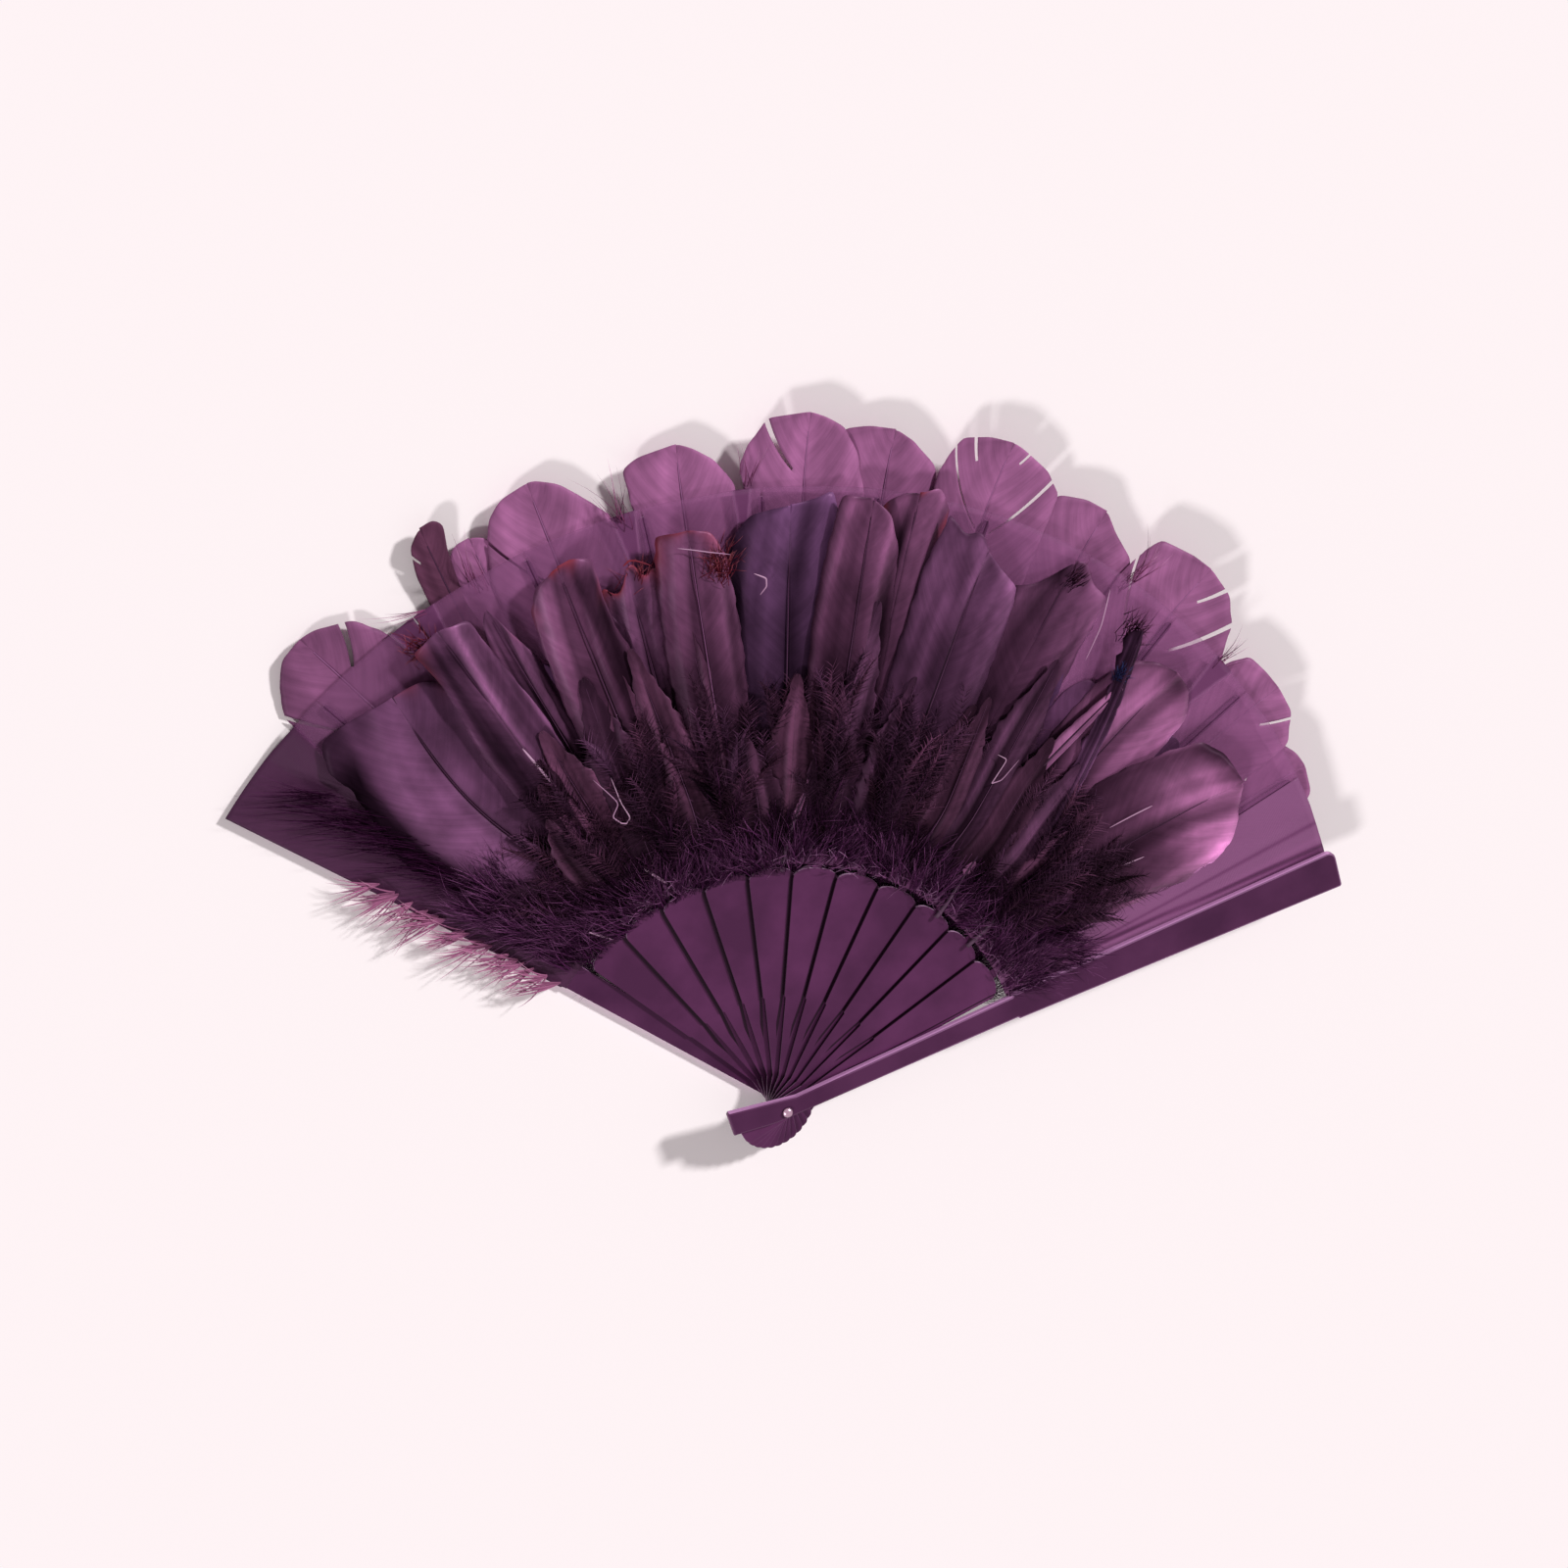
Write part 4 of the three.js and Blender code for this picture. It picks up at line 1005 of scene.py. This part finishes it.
def make_front_feathers():
    """The dark feathers over the leaf, in two layers, with loose downy barbs at their roots."""
    dyed = vane("dyed_goose_front", "#643853", "#583a61", 0.3, 0.25, 0.14, 0.4)
    shaft = quill("horn_front", "#7a5272", "#6a4062")
    fluff = down_fibre("marabou_front", "#2c1228", "#64385c", 0.15)
    plain = dict(low=False, downy=0.36, fold=0.95, streak=0.8, rim=0.5, ripple=0.8, quill=0.5, shaft=0.45,
                 ragged=0.02, fade_at=FADE_AT, fade=FADE)
    for i, look in enumerate(FRONT_LOOKS):
        look = {**plain, **look}
        level = front_level(look["low"])
        thing, path = feather(f"face_feather_{i + 1:02d}", look, FRONT_ROOT, level, [dyed, shaft], 200 + i)
        rides(thing, look["stick"])
        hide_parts(f"front_feather_{i + 1:02d}")
        loose_barbs(f"face_fluff_{i + 1:02d}", path, look, fluff, 260 + i)
        plumelets(f"face_plumelets_{i + 1:02d}", path, look, dyed, 800 + i)


def make_filler_feathers():
    """Small dark feathers next to the leaf, which close the gaps between the roots."""
    finishes = [vane("dyed_goose_filler", "#4a2a44", "#40284a", 0.15, 0.15, 0.15, 0.4),
                quill("horn_filler", "#6a4264", "#3a2038")]
    rng = np.random.default_rng(31)
    for k in range(1, RIB_COUNT + 1):
        for j, turn in enumerate((-2.6, 2.6) if k < RIB_COUNT else (2.6,)):
            middle = stick_angle(k) + turn
            look = dict(root=middle, tip=middle + rng.uniform(-2, 2), reach=rng.uniform(168, 184),
                        half=10.5, shares=SLIM_SHARES, bow=0.35, ripple=0.1, curl=0.0,
                        tone=rng.uniform(0.5, 0.9),
                        violet=rng.uniform(0, 0.6), fade_at=FADE_AT, fade=FADE)
            level = raised_level(leaf_top, 0.12 + 0.12 * j)
            name = f"under_feather_{k:02d}_{j + 1}"
            thing, _ = feather(name, look, SMALL_ROOT, level, finishes, 500 + 2 * k + j)
            rides(thing, k)


def make_cover_feathers():
    """Smaller dark feathers that lie over the lower half of the front ones, askew."""
    finishes = [vane("dyed_goose_cover", "#5c344d", "#4e3457", 0.3, 0.25, 0.2, 0.4),
                quill("horn_cover", "#7a5272", "#6a4062")]
    rng = np.random.default_rng(41)
    for k in range(1, RIB_COUNT + 1):
        for j, turn in enumerate((-2.8, 2.2)):
            middle = stick_angle(k) + turn + rng.uniform(-1, 1)
            look = dict(root=middle, tip=middle + rng.uniform(-4, 4), reach=rng.uniform(132, 176),
                        half=rng.uniform(6, 10), shares=POINTED_SHARES, blunt=7.0, rows=70, ragged=0.14,
                        bow=1.2, ripple=1.0, curl=0.6, fold=0.8, streak=1.2, rim=0.1,
                        tone=rng.uniform(0.35, 0.9), violet=rng.uniform(0, 0.4), quill=0.6, shaft=0.3,
                        fade_at=(0, 0.2, 0.5, 0.75, 1.0), fade=(0.05, 0.2, 0.6, 0.85, 0.5))
            # The sectors beside the guards have none, but their draws are made all the same
            if 1 < k < RIB_COUNT:
                level = raised_level(front_level(), 1.3 + 0.5 * j, 90)
                name = f"cover_feather_{k:02d}_{j + 1}"
                thing, _ = feather(name, look, SMALL_ROOT, level, finishes, 600 + 2 * k + j)
                rides(thing, k)


def seats(path, half, s, out):
    """Places on a feather's vane, at shares s along its shaft and out of its half width
    beside it, with the directions along and beside the shaft."""
    at = s * (len(path) - 1)
    low = np.floor(at).astype(int)
    step = path[low + 1] - path[low]
    along = unit(step)
    beside = unit(np.cross(UP, along))
    wide = np.interp(s, ROW_SHARES, SLIM_SHARES)
    roots = path[low] + step * (at - low)[:, None] + beside * (out * wide * 0.8 * half)[:, None]
    roots[:, 2] += 0.2 - 2.0 * (out * 0.8) ** 2 * wide
    return roots, along, beside


def plumelets(name, path, look, finish, seed):
    """Small downy feathers over the lower part of a vane: each lies along the shaft, leans
    away from it, and is arched across. A narrow pointed core carries barbs on both sides,
    which sweep forward and stand out past it."""
    rows, columns, barbs, hair_steps = 11, 3, 13, 4
    reach = look["downy"] * 1.2
    count = int(5.0 * look["half"] * reach)
    rng = np.random.default_rng(seed)
    s = rng.uniform(0, 1, count) * reach
    out = rng.uniform(-1, 1, count)
    roots, along, beside = seats(path, look["half"], s, out)
    roots[:, 2] += rng.uniform(0.1, 1.4, count)
    slant = np.radians(out * 16 + rng.normal(0, 10, count))
    ahead = along * np.cos(slant)[:, None] + beside * np.sin(slant)[:, None]
    ahead[:, 2] += rng.uniform(-0.03, 0.04, count)
    across = unit(np.cross(UP, ahead))
    length = rng.uniform(11, 27, count) * (1 - 0.5 * s)
    wide = rng.uniform(0.8, 2.2, count)
    bend = (rng.normal(0, 0.12, count) + 0.12 * out) * length
    phase = rng.uniform(0, TURN, count)
    own = np.minimum(np.exp(rng.normal(-1.0, 0.6, count)) * (0.35 + 1.6 * s), 0.7)
    hue = rng.uniform(0, 0.4, count)

    def placed(u, v):
        """Points at shares u along and v across each small feather, and its half width."""
        each = (slice(None), *[None] * (u.ndim - 1))
        profile = wide[each] * (0.06 + 0.94 * smooth(u / 0.4) * (1 - smooth((u - 0.35) / 0.7)))
        y = v * profile
        x = u * length[each] + 0.9 * np.abs(y)
        points = roots[each] + ahead[each] * x[..., None]
        points = points + across[each] * (y + bend[each] * u ** 2)[..., None]
        points[..., 2] += 0.45 * wide[each] * (1 - v ** 2) + 0.5 * np.sin(u * 6 + phase[each]) * u
        return points, profile

    u, v = np.broadcast_arrays(np.linspace(0, 1, rows)[None, :, None] + np.zeros((count, 1, 1)),
                               np.linspace(-1, 1, columns)[None, None, :])
    core, _ = placed(u, v)
    base = (np.arange(count) * rows * columns)[:, None, None]
    quads = (base + grid_quads(rows, columns)).reshape(-1, 4)
    both, faces = closed_sheet(core.reshape(-1, 3), quads, 0.08)
    tone = own[:, None, None] * (0.35 + 1.0 * u) * (1 + 0.3 * v * np.sin(phase)[:, None, None])

    at = np.linspace(0.06, 0.97, barbs)[None, :] + rng.uniform(-0.03, 0.03, (count, barbs))
    hair_roots, hair_wide = placed(at, np.zeros_like(at))
    hair_roots = np.repeat(hair_roots.reshape(-1, 3), 2, axis=0)
    side = np.tile([1.0, -1.0], count * barbs)
    hair_count = len(side)
    turn = np.radians(np.repeat((50 - 28 * at).ravel(), 2) + rng.normal(0, 8, hair_count))
    along_hair, across_hair = (np.repeat(part, 2 * barbs, axis=0) for part in (ahead, across))
    directions = unit(along_hair * np.cos(turn)[:, None] + across_hair * (side * np.sin(turn))[:, None])
    lengths = (np.repeat(hair_wide.ravel(), 2) + 1.2) * rng.uniform(1.3, 2.6, hair_count) + 1.0
    hairs, hair_faces, _ = strands(directions, hair_roots, lengths, -0.25 * side, np.full(hair_count, 0.13),
                                   hair_steps, square_up(directions))
    hair_tone = np.repeat((own[:, None] * (0.5 + 1.1 * at)).ravel(), 2) * rng.uniform(0.5, 1.3, hair_count)
    hue = [np.tile(np.repeat(hue, rows * columns), 2), np.repeat(hue, 2 * barbs * 3 * hair_steps)]
    attributes = {
        "tone": np.concatenate([np.tile(tone.ravel(), 2), np.repeat(hair_tone, 3 * hair_steps)]),
        "violet": np.concatenate(hue),
        "red": np.zeros(len(both) + len(hairs)),
    }
    thing = mesh_object(name, np.concatenate([both, hairs]),
                        [*faces, *(face + len(both) for face in hair_faces)], attributes, [finish],
                        np.concatenate([both[:, :2] * 2, np.zeros((len(hairs), 2))]))
    rides(thing, look["stick"])


def loose_barbs(name, path, look, finish, seed):
    """Barbs that have come apart on the lower half of a vane: they lie along it, spread over
    its width, and lean away from the shaft, in locks that share a lean and a tone."""
    count = int(30 * look["half"] * look["downy"])
    rng = np.random.default_rng(seed)
    s = rng.uniform(0, 1, count) ** 1.5 * look["downy"]
    out = rng.uniform(-1, 1, count)
    roots, along, beside = seats(path, look["half"], s, out)
    lock = np.round(s * 26) * 3.1 + np.round(out * 4) * 7.7
    slant = np.radians(out * (34 - 30 * s) + 16 * np.sin(lock) + rng.normal(0, 9, count))
    directions = along * np.cos(slant)[:, None] + beside * np.sin(slant)[:, None]
    directions[:, 2] += rng.uniform(-0.06, 0.1, count)
    directions = unit(directions)
    lengths = rng.uniform(7, 17, count) * (1 - 0.7 * s)
    bends = 0.25 * out + rng.normal(0, 0.2, count)
    stout = rng.random(count) < 0.08
    radii = np.where(stout, 0.3, rng.uniform(0.07, 0.14, count))
    own = 0.28 + 0.28 * np.sin(lock * 1.7) + rng.normal(0, 0.1, count) + 0.25 * stout
    own = np.clip(own * (0.3 + 1.4 * s), 0, 1)
    hair_piece(name, finish, look["stick"], directions, roots, lengths, bends, radii, own,
               ups=square_up(directions))


def down_patch(stick, finish, radii, count=620, lengths=(6, 15), lift=2.0, turns=(-0.62, 0.62), comb=0.0,
               spread=30.0, loose=14.0):
    """A patch of down round one stick: hairs rooted at random over a sector of the leaf,
    running outwards with a random turn, in locks that share a direction."""
    rng = np.random.default_rng(300 + stick)
    radius = rng.uniform(*radii, count)
    angle = stick_angle(stick) + rng.uniform(*turns, count) * PITCH
    lock = np.round(radius / 7) * 13.7 + np.round(angle / 2.4) * 7.3
    lean = comb + spread * np.sin(lock * 5.1) + rng.normal(0, loose, count)
    directions = towards(angle + lean, rng.uniform(0.02, 0.22, count))
    ground = np.maximum(leaf_top(radius, angle), ramp_z(angle) + STEP_Z)
    above = lift * rng.uniform(0, 1, count) * smooth((radius - LEAF_INNER) / LIFT_RUN)
    roots = polar(radius, angle, 0.0, ground + above)
    hair_piece(
        f"face_down_{stick:02d}", finish, stick, directions, roots,
        rng.uniform(*lengths, count), rng.normal(0, 0.28, count), rng.uniform(*HAIR_RADII, count),
        np.clip(0.26 + 0.36 * np.sin(lock * 1.3) + rng.normal(0, 0.12, count)
                + 0.7 * (rng.random(count) < 0.04), 0, 1),
        ups=square_up(directions))


def make_down():
    """Dark down over the roots of the front feathers, combed along the back guard."""
    finish = down_fibre("marabou_dark", "#3c1a38", "#82507a", 0.15)
    for k in range(1, RIB_COUNT + 1):
        down_patch(k, finish, (80.5 if k < 6 else 83.0, 114))
    down_patch(0, finish, (86, 129), 900, (9, 17), 1.5, (-0.95, -0.12), 4.0, 12.0, 7.0)


def make_edge_barbs():
    """Bunches of pink barbs that stand out past the lower edge of the back guard."""
    finish = down_fibre("marabou_pink", "#94597a", "#cc9ab2", 0.1)
    rng = np.random.default_rng(71)
    bunches, each = 17, 11
    count = bunches * each
    guard = stick_angle(0)
    radius = np.repeat(np.linspace(88, 156, bunches) + rng.uniform(-2, 2, bunches), each)
    length = np.repeat(rng.uniform(10, 17, bunches), each) * rng.uniform(0.6, 1.0, count)
    lean = np.repeat(rng.uniform(-9, 9, bunches), each) + rng.normal(0, 14, count)
    hair_piece(
        "edge_barbs", finish, 0, towards(guard + 43 + lean, rng.uniform(-0.02, 0.04, count)),
        polar(radius, guard, 2.0, GUARD_THICK + 1.0), length + 4, rng.normal(0, 0.15, count),
        rng.uniform(0.22, 0.36, count), rng.uniform(0.25, 0.6, count))


def make_side_barbs():
    """Long dark barbs of the first front feather, combed out over the leaf beside it."""
    finish = down_fibre("marabou_side", "#2a0d26", "#5e3058", 0.1)
    rng = np.random.default_rng(91)
    count = 520
    share = rng.uniform(0, 1, count)
    radius = 100 + 90 * share
    angle = stick_angle(0) - 6.5 + 2.6 * share + rng.normal(0, 0.8, count)
    heading = angle + 26 + 8 * np.sin(share * 40) + rng.normal(0, 5, count)
    hair_piece(
        "side_barbs", finish, 0, towards(heading, rng.uniform(-0.03, 0.02, count)),
        polar(radius, angle, 0.0, leaf_top(radius, angle) + rng.uniform(0.3, 1.0, count)),
        rng.uniform(12, 28, count), rng.normal(-0.1, 0.1, count), rng.uniform(0.12, 0.26, count),
        np.clip(0.25 + 0.3 * np.sin(share * 90) + rng.normal(0, 0.1, count), 0, 1), arch=0.5)


def make_rear_down():
    """Short down on the backs of the ribs, from the ends of the blades outwards."""
    finish = down_fibre("marabou_rear", "#2a0f27", "#4c2848", 0.1)
    rng = np.random.default_rng(61)
    count = 1100
    for k in range(1, RIB_COUNT + 1):
        radius = 76 + 30 * rng.uniform(0, 1, count) ** 1.5
        angle = stick_angle(k) + rng.uniform(-0.6, 0.95 if k == 1 else 0.6, count) * PITCH
        directions = towards(angle + rng.normal(0, 35, count), rng.uniform(-0.06, 0.0, count))
        depth = np.minimum(rng.uniform(0.35, 1.6, count), ramp_z(angle) - 0.4)
        hair_piece(
            f"rear_down_{k:02d}", finish, k, directions,
            polar(radius, angle, 0.0, ramp_z(angle) - depth), rng.uniform(5, 11, count),
            rng.normal(0, 0.3, count), np.full(count, 0.2), rng.uniform(0, 1, count) ** 2,
            steps=4, arch=0.3, floor=0.12)


def make_plumes():
    """Soft plumes behind the leaf, which hold the free side of the open fan up."""
    finish = down_fibre("marabou_back", "#5a2c54", "#9a6292", 0.3)
    count = 1500
    for i, k in enumerate((2, 5, 8, 10)):
        rng = np.random.default_rng(400 + i)
        s = rng.uniform(0, 1, count)
        radius = 90 + 96 * s
        dip = 2.0 * smooth((radius - 88) / 18)
        height = np.maximum(0.9, (rib_z(k) - 1.1 - dip) * (1 - smooth((radius - 88) / 102 * 1.45)))
        side = rng.choice([-1.0, 1.0], count)
        heading = stick_angle(k) + side * rng.uniform(25, 60, count)
        lengths = 16 * np.sin(np.clip(s * 2.6 + 0.35, 0, np.pi)) + 3
        thing = hair_piece(
            f"rear_plume_{i + 1}", finish, k,
            towards(heading, rng.uniform(-0.02, 0.05, count)), polar(radius, stick_angle(k), 0.0, height),
            lengths, -side * 0.25, np.full(count, 0.14), rng.uniform(0, 1, count),
            floor=0.15)
        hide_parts(f"back_plume_{i + 1}")


# Small tufts: direction, radius and height above the ribs' ramp of the roots, how far the
# roots spread, heading and its spread, length, count, stick, and finish
TUFTS = [
    ((131.0, 207, 0.3, 0.6), (188, 7), 17, 7, 2, "pink"),
    ((126.2, 203, -0.5, 1.5), (122, 10), 16, 14, 2, "pink"),
    ((112.9, 202, -0.5, 1.5), (112, 9), 21, 14, 4, "pink"),
    ((101.8, 210, -0.5, 1.0), (101, 10), 13, 8, 5, "pink"),
    ((64.2, 205, -0.5, 1.5), (66, 12), 17, 14, 8, "pink"),
    ((52.2, 203, -0.5, 1.5), (54, 12), 15, 12, 10, "pink"),
    ((105.4, 186, 8.5, 2.4), (98, 40), 6, 110, 5, "red"),
    ((113.2, 187, 3.5, 2.2), (104, 30), 7, 50, 4, "red"),
    ((133.2, 199, 4.0, 2.6), (150, 45), 6, 60, 2, "red"),
    ((60.6, 180, 8.0, 1.0), (60, 30), 4, 40, 9, "blue"),
    ((70.4, 198, 8.0, 1.6), (50, 12), 4, 50, 8, "dark"),
    ((62.0, 193, 6.0, 2.2), (60, 40), 7, 70, 9, "dark"),
]


def make_tufts():
    """Tufts of thin barbs: pink wisps in the notches between the back feathers, and ragged
    red, blue and dark ends on the front ones."""
    finishes = {
        "pink": down_fibre("marabou_wisps", "#7a3e62", "#c692b4", 0.1),
        "red": down_fibre("barbs_red", "#561824", "#b4606c", 0.1),
        "blue": down_fibre("barbs_blue", "#1c2040", "#4c5c98", 0.1),
        "dark": down_fibre("barbs_dark", "#1c0a14", "#5a3040", 0.1),
    }
    rng = np.random.default_rng(81)
    for i, ((angle, reach, lift, spread), (heading, turn), length, count, stick, look) in enumerate(TUFTS):
        hair_piece(
            f"barb_tuft_{i + 1:02d}", finishes[look], stick,
            towards(heading + rng.normal(0, turn, count), rng.uniform(0, 0.15, count)),
            polar(reach + rng.normal(0, spread, count), angle, rng.normal(0, spread, count),
                  ramp_z(angle) + lift + rng.uniform(0, 0.8, count)),
            length * rng.uniform(0.6, 1.2, count), rng.normal(0, 0.2, count), rng.uniform(0.1, 0.18, count),
            rng.uniform(0, 0.6, count))


def make_ring_curls():
    """Pale curled hairs and glue threads along the ends of the blades."""
    finish = down_fibre("marabou_pale", "#7a4a72", "#cfa2c8", 0.1)
    rng = np.random.default_rng(95)
    count = 26
    for k in range(2, RIB_COUNT + 1):
        angle = stick_angle(k) + rng.uniform(-0.5, 0.5, count) * PITCH
        radius = rng.uniform(83, 89, count)
        heading = angle + rng.choice([-1, 1], count) * rng.uniform(20, 95, count)
        hair_piece(
            f"face_curls_{k:02d}", finish, k, towards(heading, rng.uniform(-0.05, 0.1, count)),
            polar(radius, angle, 0.0, ramp_z(angle) + 2 * STEP_Z + rng.uniform(0.2, 1.2, count)),
            rng.uniform(2, 5.5, count), rng.normal(0, 0.6, count), rng.uniform(*HAIR_RADII, count),
            rng.uniform(0, 0.5, count), steps=7)


# Narrow bright feathers: direction at root and tip, radius at both, half width, tone and stick
SLIVERS = [(64.0, 59.3, 96, 179, 3.0, 1.0, 9), (58.5, 61.5, 84, 112, 3.0, 0.8, 9),
           (47.5, 50.5, 84, 128, 2.8, 0.5, 10), (98.4, 94.4, 85, 119, 1.8, 0.9, 5)]


def make_slivers():
    """Narrow bright pink feathers that show between the dark ones."""
    finishes = [vane("dyed_goose_pink", "#8c5678", "#7c4a80", 0.3, 0.25, 0.15, 0.3),
                quill("horn_pink", "#a07898", "#5a3454")]
    for i, (root, tip, start, reach, half, tone, stick) in enumerate(SLIVERS):
        look = dict(root=root, tip=tip, reach=reach, half=half, shares=SLIM_SHARES, bow=2.0, curl=0.5,
                    tone=tone, violet=0.2, streak=0.6, quill=0.3, ragged=0.06)
        thing, _ = feather(f"face_sliver_{i + 1}", look, start, front_level(), finishes, 700 + i)
        rides(thing, stick)


# Loose hairs that show by themselves, as places of direction, radius and height, with the
# stick that carries them and their thickness in millimetres
STRAYS = {
    "stray_loop": (3, 0.22, [(124.1, 133.7, 16), (124.5, 124.9, 16.4), (124.3, 118.9, 16),
                             (125.2, 117.6, 15.8), (125.9, 118.6, 15.8), (126.6, 122, 16),
                             (124.8, 125.3, 16.8), (126.3, 136.1, 16)]),
    "stray_hair_1": (4, 0.16, [(109.3, 195.8, 18), (106.5, 192.5, 18.3), (104.5, 190.5, 18)]),
    "stray_hair_2": (5, 0.25, [(102.4, 183.5, 18), (101.2, 181.6, 18.2), (101.2, 179, 18.2),
                               (101.9, 176.5, 18)]),
    "stray_hair_3": (8, 0.2, [(67.2, 201.5, 24.4), (66.0, 190, 24.6), (65.4, 178.1, 24.4)]),
    "stray_red": (4, 0.3, [(114.3, 194.4, 15), (113.7, 195.6, 15.3), (113.1, 195.0, 15.3),
                           (111.8, 192.0, 15)]),
    "stray_curl": (8, 0.18, [(68.4, 137.7, 22), (66.8, 137.8, 22.2), (66.9, 130.3, 22), (66.9, 128.4, 21.8),
                             (65.8, 131, 22), (65.2, 139.7, 22)]),
    "stray_shaft_1": (2, 0.4, [(131.3, 156.9, 14), (131.0, 146, 14), (130.6, 135.1, 13.6)]),
    "stray_shaft_2": (3, 0.45, [(126.3, 98.4, 9), (125.0, 93.5, 8.6), (123.6, 89, 8)]),
    "stray_shaft_3": (1, 0.4, [(142.2, 92.2, 7.5), (141.1, 88, 7), (140, 83.6, 6)]),
    "stray_shaft_4": (10, 0.22, [(46.5, 158, 24), (47.4, 150, 24), (48.2, 142, 23.6)]),
    "stray_shaft_5": (10, 0.22, [(41.5, 146, 24.2), (42.4, 138, 24), (43.2, 129, 23.6)]),
}


def make_strays():
    """Pale bare shafts and silvery twisted hairs that lie on the front feathers: a tube
    along a line through their places, smoothed three times, that tapers at both ends."""
    pale = quill("horn_stray", "#c8a0bc", "#b488a8")
    red = quill("horn_red", "#8a3038", "#6a2430")
    for name, (stick, radius, places) in STRAYS.items():
        places = np.array(places)
        at = np.linspace(0, len(places) - 1, 8 * len(places))
        angle, reach, height = (np.interp(at, np.arange(len(places)), places[:, i]) for i in range(3))
        path = polar(reach, angle, 0.0, height)
        for _ in range(3):
            path[1:-1] = (path[:-2] + 2 * path[1:-1] + path[2:]) / 4
        share = np.linspace(0, 1, len(path))
        radii = radius * np.sqrt(np.clip(1.02 - np.abs(2 * share - 1) ** 3, 0.02, 1))
        points, faces = tube(path, radii)
        attributes = {"along": np.repeat(share, TUBE_SIDES), "tone": np.ones(len(points))}
        thing = mesh_object(name, points, faces, attributes, [red if name == "stray_red" else pale])
        rides(thing, stick)


make_camera()
make_stage()
make_sticks()
make_leaf()
make_back_feathers()
make_front_feathers()
make_filler_feathers()
make_cover_feathers()
make_down()
make_plumes()
make_rear_down()
make_edge_barbs()
make_side_barbs()
make_tufts()
make_ring_curls()
make_slivers()
make_strays()
